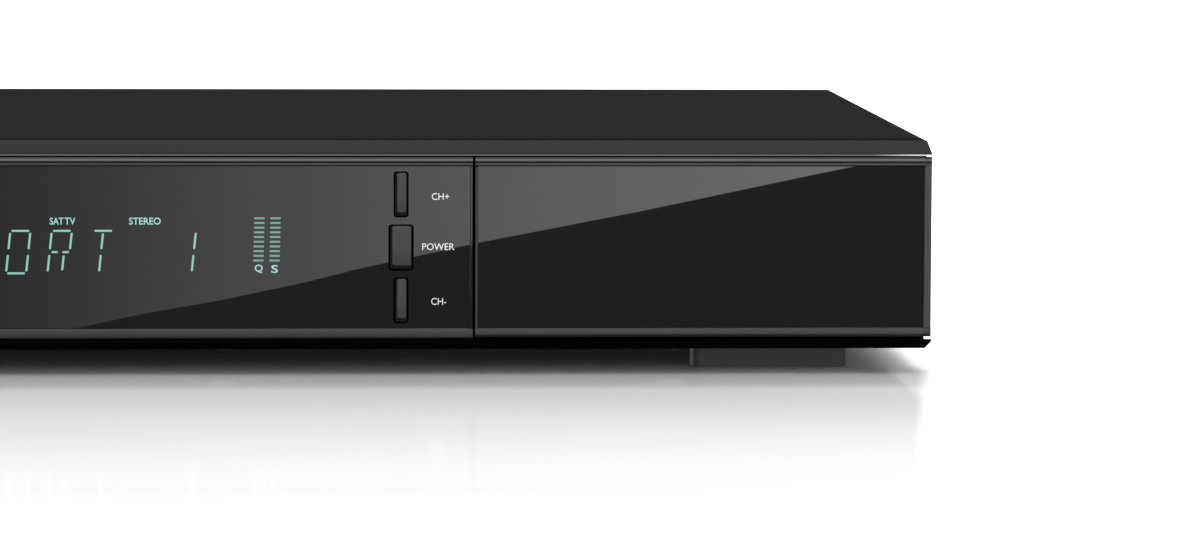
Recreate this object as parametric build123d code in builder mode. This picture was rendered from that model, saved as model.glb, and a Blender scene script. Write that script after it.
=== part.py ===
from build123d import *
from math import cos, radians, sin
import os

os.makedirs("parts", exist_ok=True)

# A set-top satellite, terrestrial and cable television receiver, in millimetres.
# +Z is up, the front faces -Y and +X is to the right of someone who looks at the front.
# The origin lies under the middle of the bounding box, on the surface that it stands on.

# ---------------------------------------------------------------- driving sizes
# Case
cover_depth = 186.0          # front plane to the back of the cover
case_height = 41.0           # underside of the bezel to the top of the cover
foot_height = 5.0
sheet = 0.8                  # steel of the tray, the cover and the brackets
fit_gap = 0.2                # between parts that are put together by hand
bezel_step = 0.9             # how far the bezel stands out past each side of the cover
panel_thick = 2.5            # trim frame with its glossy inlay
cap_chamfer = 2.2            # slope along the front of the case top
bezel_wall = 1.8
skirt_depth = 11.0           # how far the bezel reaches back under the cover
bend_radius = 1.0            # outside of the folds of the cover

# Circuit boards
board_thick = 1.6
standoff_height = 5.0
board_margin = 4.1           # board edge to tray wall
board_gap = 4.0              # between the main board and the power board
power_board_width = 44.0
board_end = 2.5              # outermost socket to the end of the main board
socket_gap = 3.0             # between neighbours along the rear panel

# Widths of what stands along the rear of the main board, right to left
satellite_width = 40.0
terrestrial_width = 32.0
hdmi_width = 15.0
optical_width = 10.0
network_width = 16.0
usb_width = 13.0
rca_width = 20.0
scart_width = 48.0

# Aerial sockets
aerial_reach = 9.0           # past the rear lip of the cover
aerial_radius = 4.75         # 3/8 inch thread of an F socket
aerial_stem = 4.2            # neck of a socket where it passes the rear panel
aerial_pitch = 20.0

# Side by side behind the door, right to left
usb_end_gap = 0.9            # end of the bay to the USB socket
eject_usb_gap = 2.65
eject_bar = 3.0              # square section of the eject button
eject_gap = 0.4              # between the eject button and the slot
ci_inner_width = 54.6
ci_rail = 2.2
ci_end_gap = 5.5             # between the slot and the other end of the bay

# Front panel
door_split = 0.5             # slit between the display panel and the door
door_side_gap = 0.1
door_bottom_rise = 2.4       # underside of the bezel to the lower edge of the door
door_top_drop = 3.2          # top of the case to the upper edge of the door
strip_bottom = 1.8           # trim strip under the glossy inlay
strip_top = 1.7
strip_side = 1.5
key_travel = 0.5
key_gap = 0.28
key_spacing = 1.34           # between the holes of neighbouring keys
key_margin = 1.02            # edge of the inlay to the hole of a key
channel_key_width = 2.4
power_key_width = 4.4
key_inset = 14.3             # centre line of the keys to the slit of the door
display_key_gap = 13.0       # centre line of the keys to the display tube
lamp_inset = 16.4            # end of the panel to the lamp
eye_pitch = 9.0              # lamp to receiver eye
eye_gap = 9.0                # receiver eye to the display tube

# ---------------------------------------------------------------- worked-out places
base_z = foot_height
top_z = base_z + case_height
board_bottom = base_z + sheet + standoff_height
board_top = board_bottom + board_thick

main_board_width = (
    satellite_width + terrestrial_width + hdmi_width + optical_width
    + network_width + usb_width + rca_width + scart_width
    + 7 * socket_gap + 2 * board_end
)
tray_half = (main_board_width + board_gap + power_board_width) / 2 + board_margin
side_inner = tray_half + fit_gap
side_outer = side_inner + sheet
case_half = side_outer + bezel_step

front_y = -(cover_depth + aerial_reach) / 2
panel_back = front_y + panel_thick
skirt_back = panel_back + skirt_depth
cover_front = panel_back + fit_gap
cover_back = front_y + cover_depth
aerial_tip = cover_back + aerial_reach
rear_outer = cover_back - sheet - fit_gap
rear_inner = rear_outer - sheet
tray_front = skirt_back + 0.3
cover_inner = top_z - sheet
rear_top = cover_inner - fit_gap

# Boards and the centres of the rear sockets
main_right = tray_half - board_margin
main_left = main_right - main_board_width
main_x = (main_right + main_left) / 2
power_right = main_left - board_gap
power_left = power_right - power_board_width
power_x = (power_left + power_right) / 2
satellite_x = main_right - board_end - satellite_width / 2
terrestrial_x = satellite_x - satellite_width / 2 - socket_gap - terrestrial_width / 2
hdmi_x = terrestrial_x - terrestrial_width / 2 - socket_gap - hdmi_width / 2
optical_x = hdmi_x - hdmi_width / 2 - socket_gap - optical_width / 2
network_x = optical_x - optical_width / 2 - socket_gap - network_width / 2
usb_rear_x = network_x - network_width / 2 - socket_gap - usb_width / 2
rca_x = usb_rear_x - usb_width / 2 - socket_gap - rca_width / 2
scart_x = rca_x - rca_width / 2 - socket_gap - scart_width / 2

# Front panel, from the case height and from what stands behind the door
skirt_half = side_inner - fit_gap
door_bottom = base_z + door_bottom_rise
door_top = top_z - door_top_drop
panel_mid_z = (door_bottom + door_top) / 2
inlay_low = door_bottom + strip_bottom
inlay_high = door_top - strip_top
key_height = (inlay_high - inlay_low - 2 * key_margin - 2 * key_spacing - 6 * key_gap) / 3
key_pitch = key_height + 2 * key_gap + key_spacing
ci_width = ci_inner_width + 2 * ci_rail
bay_right = skirt_half - bezel_wall
usb_front_x = bay_right - usb_end_gap - usb_width / 2
eject_x = usb_front_x - usb_width / 2 - eject_usb_gap - eject_bar / 2
ci_x = eject_x - eject_bar / 2 - eject_gap - ci_width / 2
bay_left = ci_x - ci_width / 2 - ci_end_gap
door_left = bay_left - bezel_wall
door_right = case_half - door_side_gap
door_width = door_right - door_left
slit_x = door_left - door_split / 2
key_x = slit_x - key_inset
lamp_x = lamp_inset - door_right
eye_x = lamp_x + eye_pitch
display_width = key_x - display_key_gap - eye_x - eye_gap
display_x = eye_x + eye_gap + display_width / 2

# Screws
screw_radius = 1.45
thread_radius = 1.5          # hole that a screw bites into
clear_radius = 1.7           # hole that a screw passes through
head_radius = 2.8
head_height = 0.8            # low heads of the cover screws
pan_height = 1.6             # heads that are hidden
screw_length = 6.0
side_screw_length = 4.5

UPWARD = (Align.CENTER, Align.CENTER, Align.MIN)
BACKWARD = (Align.CENTER, Align.MIN, Align.MIN)      # starts at y, grows back and up
FORWARD = (Align.CENTER, Align.MAX, Align.MIN)       # ends at y, grows forward and up
MIDDLE_BACK = (Align.CENTER, Align.MIN, Align.CENTER)


def facing(y):
    """The upright plane at this depth. It faces the front, so minus amounts run back."""
    return Plane.XZ.offset(-y)


def across(x):
    """The upright plane at this X, which faces right, with Y and Z as its axes."""
    return Plane.YZ.offset(x)


# ---------------------------------------------------------------- feet
foot_width = 30.5
foot_depth = 11.0
foot_setback = 13.8          # front plane to the front feet
foot_rear_setback = 13.0     # back of the cover to the rear feet
foot_inset = 15.3            # side of the case to the foot
foot_round = 1.5
foot_x = case_half - foot_inset - foot_width / 2
foot_front_y = front_y + foot_setback + foot_depth / 2
foot_rear_y = cover_back - foot_rear_setback - foot_depth / 2
foot_places = [(side * foot_x, y) for side in (-1, 1) for y in (foot_front_y, foot_rear_y)]
foot_sink = 2.4              # depth of the hollow that hides the screw head

with BuildPart() as feet:
    with BuildSketch():
        with Locations(foot_places):
            RectangleRounded(foot_width, foot_depth, foot_round)
    extrude(amount=foot_height)
    with Locations([(x, y, foot_height) for x, y in foot_places]):
        Hole(clear_radius, foot_height)
    with BuildSketch():
        with Locations(foot_places):
            Circle(head_radius + fit_gap)
    extrude(amount=foot_sink, mode=Mode.SUBTRACT)
feet.part.label = "feet"
export_step(feet.part, "parts/feet.step")

# ---------------------------------------------------------------- chassis tray
tray_side = 10.0             # height of the low side walls
tray_flange = 7.0            # fold along the top of the rear panel
vent_length = 22.0
vent_width = 3.0
main_vent_y = -10.0
bezel_tab_width = 14.0
bezel_tab_length = 9.0
bezel_tab_thick = 2.4
bezel_tab_root = 1.0         # inside the floor of the bezel
bezel_tab_gap = 4.2          # edge of a foot to the screw of a tab
bezel_tab_reach = foot_x - foot_width / 2 - bezel_tab_gap
bezel_tab_x = [-bezel_tab_reach, 0.0, bezel_tab_reach]
bezel_screw_y = tray_front + bezel_tab_length / 2
side_screw_front = 24.0
side_screw_back = 27.0
side_screw_y = [tray_front + side_screw_front, rear_inner - side_screw_back]
side_screw_z = base_z + tray_side / 2
rear_screw_pitch = 110.0
rear_screw_x = [-rear_screw_pitch, 0.0, rear_screw_pitch]

# Sockets that pass through the rear panel
lip_gap = 1.6                # between the tallest socket and the lip of the cover
aerial_z = board_top + 7.2
aerial_hole = aerial_radius + 0.25
hdmi_height = 6.0
optical_height = 10.0
network_height = 13.4
usb_height = 5.8
rca_height = 24.0
rear_lip = top_z - board_top - rca_height - lip_gap
rear_screw_z = top_z - rear_lip / 2 - sheet / 2
rca_pitch = 12.0
rca_barrel = 4.15
rca_rim = 0.5                # block behind the panel past its mouth
scart_height = 14.0
scart_mouth = 45.0
panel_clear = 0.3            # round every socket in its cut-out
inlet_width = 19.5
inlet_height = 12.6
inlet_end_gap = 1.0
inlet_x = power_left + inlet_end_gap + inlet_width / 2
switch_hole_width = 9.0
switch_hole_height = 13.0
switch_rim = 1.5             # flange of the switch past its hole
switch_end_gap = 4.5
switch_x = power_right - switch_end_gap - switch_hole_width / 2
switch_z = top_z - rear_lip - lip_gap - switch_rim - switch_hole_height / 2
rear_vent_drop = 11.48
rear_vent_z = top_z - rear_vent_drop
rear_vent_length = 9.0
rear_vent_pitch = 5.1
tray_vent_pitch = 7.2

with BuildPart() as chassis_tray:
    with BuildSketch(Plane.XY.offset(base_z)):
        with Locations((0, (tray_front + rear_outer) / 2)):
            Rectangle(2 * tray_half, rear_outer - tray_front)
    extrude(amount=sheet)
    with BuildSketch(Plane.XY.offset(base_z)):
        for side in (-1, 1):
            with Locations((side * (tray_half - sheet / 2), (tray_front + rear_outer) / 2)):
                Rectangle(sheet, rear_outer - tray_front)
    extrude(amount=tray_side)
    with BuildSketch(facing(rear_inner)):
        with Locations((0, (base_z + rear_top) / 2)):
            Rectangle(2 * tray_half, rear_top - base_z)
    extrude(amount=-sheet)
    with Locations((0, rear_outer, rear_top - sheet)):
        Box(2 * tray_half, tray_flange, sheet, align=FORWARD)
    # Cut-outs of the rear panel
    with BuildSketch(facing(rear_inner - fit_gap)):
        with Locations((satellite_x, aerial_z), (terrestrial_x, aerial_z)):
            with GridLocations(aerial_pitch, 1, 2, 1):
                Circle(aerial_hole)
        with Locations((hdmi_x, board_top + hdmi_height / 2)):
            Rectangle(hdmi_width + 2 * panel_clear, hdmi_height + 2 * panel_clear)
        with Locations((optical_x, board_top + optical_height / 2)):
            Rectangle(optical_width + 2 * panel_clear, optical_height + 2 * panel_clear)
        with Locations((network_x, board_top + network_height / 2)):
            Rectangle(network_width + 2 * panel_clear, network_height + 2 * panel_clear)
        with Locations((usb_rear_x, board_top + usb_height / 2)):
            Rectangle(usb_width + 2 * panel_clear, usb_height + 2 * panel_clear)
        with Locations((rca_x, board_top + rca_height / 2)):
            Rectangle(rca_width - 2 * rca_rim + 2 * panel_clear, rca_height + 2 * panel_clear)
        with Locations((scart_x, board_top + scart_height / 2)):
            Rectangle(scart_mouth + 2 * panel_clear, scart_height + 2 * panel_clear)
        with Locations((inlet_x, board_top + inlet_height / 2)):
            Rectangle(inlet_width + 2 * panel_clear, inlet_height + 2 * panel_clear)
        with Locations((switch_x, switch_z)):
            Rectangle(switch_hole_width, switch_hole_height)
        with Locations((inlet_x, rear_vent_z), (scart_x, rear_vent_z)):
            with GridLocations(rear_vent_pitch, 1, 4, 1):
                SlotOverall(rear_vent_length, vent_width, rotation=90)
    extrude(amount=-(sheet + 2 * fit_gap), mode=Mode.SUBTRACT)
    # Vents, feet, bezel screws and cover screws
    with BuildSketch(Plane.XY.offset(base_z)):
        with Locations((power_x, 0), (main_x, main_vent_y)):
            with GridLocations(1, tray_vent_pitch, 1, 9):
                SlotOverall(vent_length, vent_width)
        with Locations(foot_places):
            Circle(thread_radius)
        with Locations([(x, bezel_screw_y) for x in bezel_tab_x]):
            Circle(clear_radius)
    extrude(amount=sheet, mode=Mode.SUBTRACT)
    with BuildSketch(across(-tray_half)):
        with Locations([(y, side_screw_z) for y in side_screw_y]):
            Circle(thread_radius)
    extrude(amount=2 * tray_half, mode=Mode.SUBTRACT)
    with BuildSketch(facing(rear_inner)):
        with Locations([(x, rear_screw_z) for x in rear_screw_x]):
            Circle(thread_radius)
    extrude(amount=-sheet, mode=Mode.SUBTRACT)
chassis_tray.part.label = "chassis_tray"
export_step(chassis_tray.part, "parts/chassis_tray.step")

# ---------------------------------------------------------------- top cover
side_vent_height = 13.0
side_vent_width = 2.4
side_vent_pitch = 6.0
side_vent_count = 15
side_vent_drop = 16.4
side_vent_z = top_z - side_vent_drop
cover_lift = 0.3             # lower edge of the sides above the underside of the case

# The lower edge of the door swings back past the front corner of the cover
hinge_setback = 2.9          # front plane to the axis of the door
hinge_lift = 2.7             # lower edge of the door to its axis
hinge_y = front_y + hinge_setback
hinge_z = door_bottom + hinge_lift
door_edge_break = 0.6
swing_radius = (hinge_setback ** 2 + hinge_lift ** 2) ** 0.5 - 0.1
swing_rise = 0.8             # the swing is cut away below this height over the axis

with BuildPart() as top_cover:
    with BuildSketch(facing(cover_front)) as cover_section:
        with Locations((0, (base_z + cover_lift + top_z) / 2)):
            Rectangle(2 * side_outer, top_z - base_z - cover_lift)
        fillet(cover_section.vertices().group_by(Axis.Z)[-1], bend_radius)
        with Locations((0, (base_z + cover_lift + cover_inner) / 2)):
            Rectangle(2 * side_inner, cover_inner - base_z - cover_lift, mode=Mode.SUBTRACT)
    extrude(amount=-(cover_depth - panel_thick - fit_gap))
    with Locations((0, cover_back, top_z - rear_lip)):
        Box(2 * side_inner, sheet, rear_lip - sheet, align=FORWARD)
    with BuildSketch(across(-case_half)):
        with Locations((0, side_vent_z)):
            with GridLocations(side_vent_pitch, 1, side_vent_count, 1):
                SlotOverall(side_vent_height, side_vent_width, rotation=90)
        with Locations([(y, side_screw_z) for y in side_screw_y]):
            Circle(clear_radius)
    extrude(amount=2 * case_half, mode=Mode.SUBTRACT)
    with BuildSketch(facing(cover_back - sheet)):
        with Locations([(x, rear_screw_z) for x in rear_screw_x]):
            Circle(clear_radius)
    extrude(amount=-sheet, mode=Mode.SUBTRACT)
    with BuildSketch(across(side_inner - fit_gap)):
        with Locations((hinge_y, hinge_z)):
            Circle(swing_radius)
        with Locations((hinge_y, hinge_z + swing_rise)):
            Rectangle(
                3 * swing_radius,
                2 * swing_radius,
                align=(Align.CENTER, Align.MIN),
                mode=Mode.SUBTRACT,
            )
    extrude(amount=2 * sheet, mode=Mode.SUBTRACT)
top_cover.part.label = "top_cover"
export_step(top_cover.part, "parts/top_cover.step")

with BuildPart() as cover_screws:
    for side in (-1, 1):
        with BuildSketch(across(side * side_outer)):
            with Locations([(y, side_screw_z) for y in side_screw_y]):
                Circle(head_radius)
        extrude(amount=side * head_height)
        with BuildSketch(across(side * side_outer)):
            with Locations([(y, side_screw_z) for y in side_screw_y]):
                Circle(screw_radius)
        extrude(amount=-side * side_screw_length)
    with BuildSketch(facing(cover_back)):
        with Locations([(x, rear_screw_z) for x in rear_screw_x]):
            Circle(head_radius)
    extrude(amount=-head_height)
    with BuildSketch(facing(cover_back)):
        with Locations([(x, rear_screw_z) for x in rear_screw_x]):
            Circle(screw_radius)
    extrude(amount=screw_length)
cover_screws.part.label = "cover_screws"
export_step(cover_screws.part, "parts/cover_screws.step")

# ---------------------------------------------------------------- front bezel
cap_gap = 0.3                # top cap to the upper edge of the door
cap_drop = 0.5               # lower edge of the door to the bottom cap
bottom_chamfer = 1.5
end_slope = 1.1              # bevel of the cap ends
top_cap_z = door_top + cap_gap
bottom_cap_z = door_bottom - cap_drop
skirt_top = cover_inner - fit_gap
bezel_floor = 2.0
cavity_floor = base_z + bezel_floor
cavity_top = top_cap_z + 0.1
wall_back = panel_back + bezel_wall
cut_past = 1.0               # cuts run this far past the surface

# Bay behind the door
bay_depth = 7.0
bay_roof = 1.2
bay_top = cavity_top - bay_roof
bay_back = panel_back + bay_depth
bay_behind = bay_back + bezel_wall
bay_width = bay_right - bay_left
bay_mid_x = (bay_left + bay_right) / 2

# Common interface slot, card slot, USB socket and latch behind the bay
ci_inner_height = 5.6
ci_skin = 1.0
ci_height = ci_inner_height + 2 * ci_skin
ci_mid_z = board_top + ci_height / 2
ci_length = 58.0
ci_front = bay_behind + 0.3
ci_top = board_top + ci_height
reader_width = 58.0
reader_height = 4.5
reader_length = 50.0
reader_slot_width = 54.6
reader_slot_height = 1.3
reader_gap = 5.0             # between the slot and the reader
reader_z = ci_top + reader_gap
reader_slot_z = reader_z + reader_height / 2
latch_x = (door_left + door_right) / 2
latch_width = 9.0
latch_height = 6.0
latch_length = 11.0
latch_drop = 3.8
latch_z = bay_top - latch_drop
plunger_radius = 1.6
eject_rise = 3.4
eject_z = board_top + eject_rise
slot_margin = 0.4            # bay wall round what shows through it

# Door hinge
pin_radius = 0.75
knuckle_radius = 1.4
knuckle_width = 4.0
knuckle_inset = 10.0         # end of the bay to the knuckle
lug_width = 3.0
lug_radius = 1.5
hinge_side_gap = 0.3
run_gap = 0.05               # pin in the bore of the door
trough_radius = swing_radius + 0.15
knuckle_left = bay_left + knuckle_inset
knuckle_right = bay_right - knuckle_inset
knuckle_spots = [(knuckle_left, 1), (knuckle_right, -1)]     # the lug sits on this side
arm_low = hinge_z - 0.3      # underside of the hinge arms

# Keys
key_z = [panel_mid_z + key_pitch, panel_mid_z, panel_mid_z - key_pitch]
key_widths = [channel_key_width, power_key_width, channel_key_width]
key_round = 0.35

# Display, receiver eye and lamp
display_height = 22.0
window_end = 5.0             # frame over each end of the tube
window_edge = 1.5
display_window_width = display_width - 2 * window_end
display_window_height = display_height - 2 * window_edge
eye_radius = 3.2
lamp_radius = 1.5

# Front board
front_board_y = skirt_back - 0.1        # its front face
boss_radius = 2.4
boss_end = 1.0               # solid end of a boss under its hole
front_board_gap = 0.8        # to the end wall of the bezel
front_board_reach = 9.0      # past the keys
front_board_edge = 1.6       # to the floor and the roof of the bezel
boss_inset = 3.2
boss_key_gap = 8.6
boss_board_gap = 1.2         # over the screw heads' path to the main board
front_board_left = front_board_gap - bay_right
front_board_right = key_x + front_board_reach
front_board_low = cavity_floor + front_board_edge
front_board_high = cavity_top - front_board_edge
boss_x = [front_board_left + boss_inset, key_x - boss_key_gap]
boss_z = [board_top + head_radius + boss_board_gap, front_board_high - boss_inset]
boss_places = [(x, z) for x in boss_x for z in boss_z]

with BuildPart() as front_bezel:
    # Sloping top cap
    with BuildSketch(across(-case_half)):
        with BuildLine():
            Polyline(
                (front_y, top_cap_z),
                (front_y, top_z - cap_chamfer),
                (front_y + cap_chamfer, top_z),
                (panel_back, top_z),
                (panel_back, top_cap_z),
                close=True,
            )
        make_face()
    extrude(amount=2 * case_half)
    # Bottom cap, bevelled underneath
    with BuildSketch(across(-case_half)):
        with BuildLine():
            Polyline(
                (front_y, bottom_cap_z),
                (panel_back, bottom_cap_z),
                (panel_back, base_z),
                (front_y + bottom_chamfer, base_z),
                (front_y, base_z + bottom_chamfer),
                close=True,
            )
        make_face()
    extrude(amount=2 * case_half)
    # Bevels of the cap ends
    for side in (-1, 1):
        with BuildSketch(facing(front_y - cut_past)):
            with BuildLine():
                Polyline(
                    (side * case_half, top_cap_z),
                    (side * side_outer, top_z),
                    (side * (case_half + cut_past), top_z + cut_past),
                    (side * (case_half + cut_past), top_cap_z),
                    close=True,
                )
            make_face()
            with BuildLine():
                Polyline(
                    (side * case_half, base_z + bottom_chamfer),
                    (side * (case_half - end_slope), base_z),
                    (side * (case_half + cut_past), base_z - cut_past),
                    (side * (case_half + cut_past), base_z + bottom_chamfer),
                    close=True,
                )
            make_face()
        extrude(amount=-(panel_thick + cut_past), mode=Mode.SUBTRACT)
    # Skirt that slips under the cover, hollow behind the front wall
    with Locations((0, panel_back, base_z)):
        Box(2 * skirt_half, skirt_depth, skirt_top - base_z, align=BACKWARD)
    with BuildSketch(facing(skirt_back)):
        with Locations(((bay_left - bezel_wall - bay_right) / 2, (cavity_floor + cavity_top) / 2)):
            Rectangle(bay_left - bezel_wall + bay_right, cavity_top - cavity_floor)
    extrude(amount=skirt_back - wall_back, mode=Mode.SUBTRACT)
    with BuildSketch(facing(skirt_back)):
        with Locations((bay_mid_x, (cavity_floor + cavity_top) / 2)):
            Rectangle(bay_width, cavity_top - cavity_floor)
    extrude(amount=skirt_back - bay_behind, mode=Mode.SUBTRACT)
    # Bay behind the door
    with BuildSketch(facing(panel_back)):
        with Locations((bay_mid_x, (bottom_cap_z + bay_top) / 2)):
            Rectangle(bay_width, bay_top - bottom_cap_z)
    extrude(amount=-bay_depth, mode=Mode.SUBTRACT)
    with BuildSketch(across(door_left - fit_gap)):
        with Locations((hinge_y, hinge_z)):
            Circle(trough_radius)
        with Locations((hinge_y, hinge_z + swing_rise)):
            Rectangle(
                3 * trough_radius,
                2 * trough_radius,
                align=(Align.CENTER, Align.MIN),
                mode=Mode.SUBTRACT,
            )
    extrude(amount=door_width + cut_past, mode=Mode.SUBTRACT)
    # Window that the bay plate closes
    with Locations((bay_mid_x, bay_back, cavity_floor)):
        Box(bay_width, bezel_wall, bay_top - cavity_floor, align=BACKWARD, mode=Mode.SUBTRACT)
    # Openings of the display, the eye, the lamp and the keys
    with BuildSketch(facing(panel_back)):
        with Locations((display_x, panel_mid_z)):
            Rectangle(display_window_width, display_window_height)
        with Locations((eye_x, panel_mid_z)):
            Circle(eye_radius)
        with Locations((lamp_x, panel_mid_z)):
            Circle(lamp_radius + fit_gap)
        for z, width in zip(key_z, key_widths):
            with Locations((key_x, z)):
                RectangleRounded(width + 2 * key_gap, key_height + 2 * key_gap, key_round + key_gap)
    extrude(amount=-bezel_wall, mode=Mode.SUBTRACT)
    # Bosses of the front board
    with BuildSketch(facing(wall_back)):
        with Locations(boss_places):
            Circle(boss_radius)
    extrude(amount=-(front_board_y - wall_back))
    with BuildSketch(facing(front_board_y)):
        with Locations(boss_places):
            Circle(thread_radius)
    extrude(amount=front_board_y - wall_back - boss_end, mode=Mode.SUBTRACT)
    # Tabs that lie on the tray
    for x in bezel_tab_x:
        with Locations((x, skirt_back - bezel_tab_root, base_z + sheet)):
            Box(bezel_tab_width, bezel_tab_root + bezel_tab_length, bezel_tab_thick, align=BACKWARD)
    with BuildSketch(Plane.XY.offset(base_z)):
        with Locations([(x, bezel_screw_y) for x in bezel_tab_x]):
            Circle(thread_radius)
    extrude(amount=sheet + bezel_tab_thick, mode=Mode.SUBTRACT)
front_bezel.part.label = "front_bezel"
export_step(front_bezel.part, "parts/front_bezel.step")

# Plate at the back of the bay, with the hinge arms and the mouths of the slots
with BuildPart() as bay_plate:
    with Locations((bay_mid_x, bay_back, cavity_floor)):
        Box(bay_width, bezel_wall, bay_top - cavity_floor, align=BACKWARD)
    # Hinge arms
    for x, turn in knuckle_spots:
        with BuildSketch(across(x - knuckle_width / 2)):
            with Locations((hinge_y, hinge_z)):
                Circle(knuckle_radius)
            with Locations((hinge_y, arm_low)):
                Rectangle(
                    bay_back - hinge_y,
                    hinge_z + knuckle_radius - arm_low,
                    align=(Align.MIN, Align.MIN),
                )
        extrude(amount=knuckle_width)
        with BuildSketch(across(x - knuckle_width / 2)):
            with Locations((hinge_y, hinge_z)):
                Circle(pin_radius)
        extrude(amount=knuckle_width, mode=Mode.SUBTRACT)
    # Mouths of the slots, the socket, the eject button and the latch
    with BuildSketch(facing(bay_back)):
        with Locations((ci_x, ci_mid_z)):
            Rectangle(ci_inner_width + 2 * slot_margin, ci_inner_height + 2 * slot_margin)
        with Locations((ci_x, reader_slot_z)):
            Rectangle(reader_slot_width + 2 * slot_margin, reader_slot_height + 2 * slot_margin)
        with Locations((usb_front_x, board_top + usb_height / 2)):
            Rectangle(usb_width + 2 * slot_margin, usb_height + 2 * slot_margin)
        with Locations((eject_x, eject_z)):
            Rectangle(eject_bar + 2 * fit_gap, eject_bar + 2 * fit_gap)
        with Locations((latch_x, latch_z)):
            Circle(plunger_radius + fit_gap)
    extrude(amount=-bezel_wall, mode=Mode.SUBTRACT)
bay_plate.part.label = "bay_plate"
export_step(bay_plate.part, "parts/bay_plate.step")

with BuildPart() as base_screws:
    with BuildSketch(Plane.XY.offset(foot_sink)):
        with Locations(foot_places):
            Circle(head_radius)
    extrude(amount=-pan_height)
    with BuildSketch(Plane.XY.offset(foot_sink)):
        with Locations(foot_places):
            Circle(screw_radius)
    extrude(amount=screw_length)
    with BuildSketch(Plane.XY.offset(base_z)):
        with Locations([(x, bezel_screw_y) for x in bezel_tab_x]):
            Circle(head_radius)
    extrude(amount=-pan_height)
    with BuildSketch(Plane.XY.offset(base_z)):
        with Locations([(x, bezel_screw_y) for x in bezel_tab_x]):
            Circle(screw_radius)
    extrude(amount=sheet + bezel_tab_thick)
base_screws.part.label = "base_screws"
export_step(base_screws.part, "parts/base_screws.step")

# ---------------------------------------------------------------- display panel
lip = 0.45                   # thin edge beside the slit
inlay_thick = 1.2
inlay_sink = 0.2             # inlay behind the face of the trim
pocket_y = front_y + inlay_sink + inlay_thick
inlay_gap = 0.1
frame_edge_break = 0.3       # upper front edge of the trim
inlay_mid_z = (inlay_low + inlay_high) / 2
display_right = slit_x - door_split / 2
display_left = -door_right

with BuildPart() as display_frame:
    with Locations(((display_left + display_right) / 2, front_y, door_bottom)):
        Box(display_right - display_left, panel_thick, door_top - door_bottom, align=BACKWARD)
    with BuildSketch(facing(front_y)):
        with Locations(((display_left + strip_side + display_right - lip) / 2, inlay_mid_z)):
            Rectangle(display_right - lip - display_left - strip_side, inlay_high - inlay_low)
    extrude(amount=front_y - pocket_y, mode=Mode.SUBTRACT)
    with BuildSketch(facing(front_y)):
        with Locations((display_x, panel_mid_z)):
            Rectangle(display_window_width, display_window_height)
        with Locations((eye_x, panel_mid_z)):
            Circle(eye_radius)
        with Locations((lamp_x, panel_mid_z)):
            Circle(lamp_radius + fit_gap)
        for z, width in zip(key_z, key_widths):
            with Locations((key_x, z)):
                RectangleRounded(width + 2 * key_gap, key_height + 2 * key_gap, key_round + key_gap)
    extrude(amount=-panel_thick, mode=Mode.SUBTRACT)
    front_edges = display_frame.edges().filter_by(Axis.X).group_by(Axis.Y)[0]
    chamfer(front_edges.group_by(Axis.Z)[-1], frame_edge_break)
display_frame.part.label = "display_frame"
export_step(display_frame.part, "parts/display_frame.step")

with BuildPart() as display_window:
    with BuildSketch(facing(front_y + inlay_sink)):
        with Locations(((display_left + strip_side + display_right - lip) / 2, inlay_mid_z)):
            Rectangle(
                display_right - lip - display_left - strip_side - 2 * inlay_gap,
                inlay_high - inlay_low - 2 * inlay_gap,
            )
        for z, width in zip(key_z, key_widths):
            with Locations((key_x, z)):
                RectangleRounded(
                    width + 2 * key_gap,
                    key_height + 2 * key_gap,
                    key_round + key_gap,
                    mode=Mode.SUBTRACT,
                )
    extrude(amount=-inlay_thick)
display_window.part.label = "display_window"
export_step(display_window.part, "parts/display_window.step")

# ---------------------------------------------------------------- door
door_back = panel_back - fit_gap

with BuildPart() as door_frame:
    with Locations(((door_left + door_right) / 2, front_y, door_bottom)):
        Box(door_width, door_back - front_y, door_top - door_bottom, align=BACKWARD)
    with BuildSketch(facing(front_y)):
        with Locations(((door_left + lip + door_right - strip_side) / 2, inlay_mid_z)):
            Rectangle(door_right - strip_side - door_left - lip, inlay_high - inlay_low)
    extrude(amount=front_y - pocket_y, mode=Mode.SUBTRACT)
    front_edges = door_frame.edges().filter_by(Axis.X).group_by(Axis.Y)[0]
    chamfer(front_edges.group_by(Axis.Z)[0], door_edge_break)
    chamfer(front_edges.group_by(Axis.Z)[-1], frame_edge_break)
    # Room for the knuckles of the bezel
    for x, turn in knuckle_spots:
        with Locations((x, pocket_y, hinge_z - knuckle_radius - hinge_side_gap)):
            Box(
                knuckle_width + 2 * hinge_side_gap,
                panel_thick,
                2 * (knuckle_radius + hinge_side_gap),
                align=BACKWARD,
                mode=Mode.SUBTRACT,
            )
    # Lugs that turn on the pins
    for x, turn in knuckle_spots:
        lug_start = x + turn * (knuckle_width / 2 + hinge_side_gap)
        with BuildSketch(across(lug_start)):
            with Locations((hinge_y, hinge_z)):
                Circle(lug_radius)
            with Locations((pocket_y, hinge_z)):
                Rectangle(hinge_y - pocket_y, 2 * lug_radius, align=(Align.MIN, Align.CENTER))
            with Locations((pocket_y, hinge_z)):
                Rectangle(
                    panel_thick,
                    4 * lug_radius,
                    align=(Align.MAX, Align.CENTER),
                    mode=Mode.SUBTRACT,
                )
        extrude(amount=turn * lug_width)
        with BuildSketch(across(lug_start)):
            with Locations((hinge_y, hinge_z)):
                Circle(pin_radius + run_gap)
        extrude(amount=turn * lug_width, mode=Mode.SUBTRACT)
door_frame.part.label = "door_frame"
export_step(door_frame.part, "parts/door_frame.step")

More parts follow.
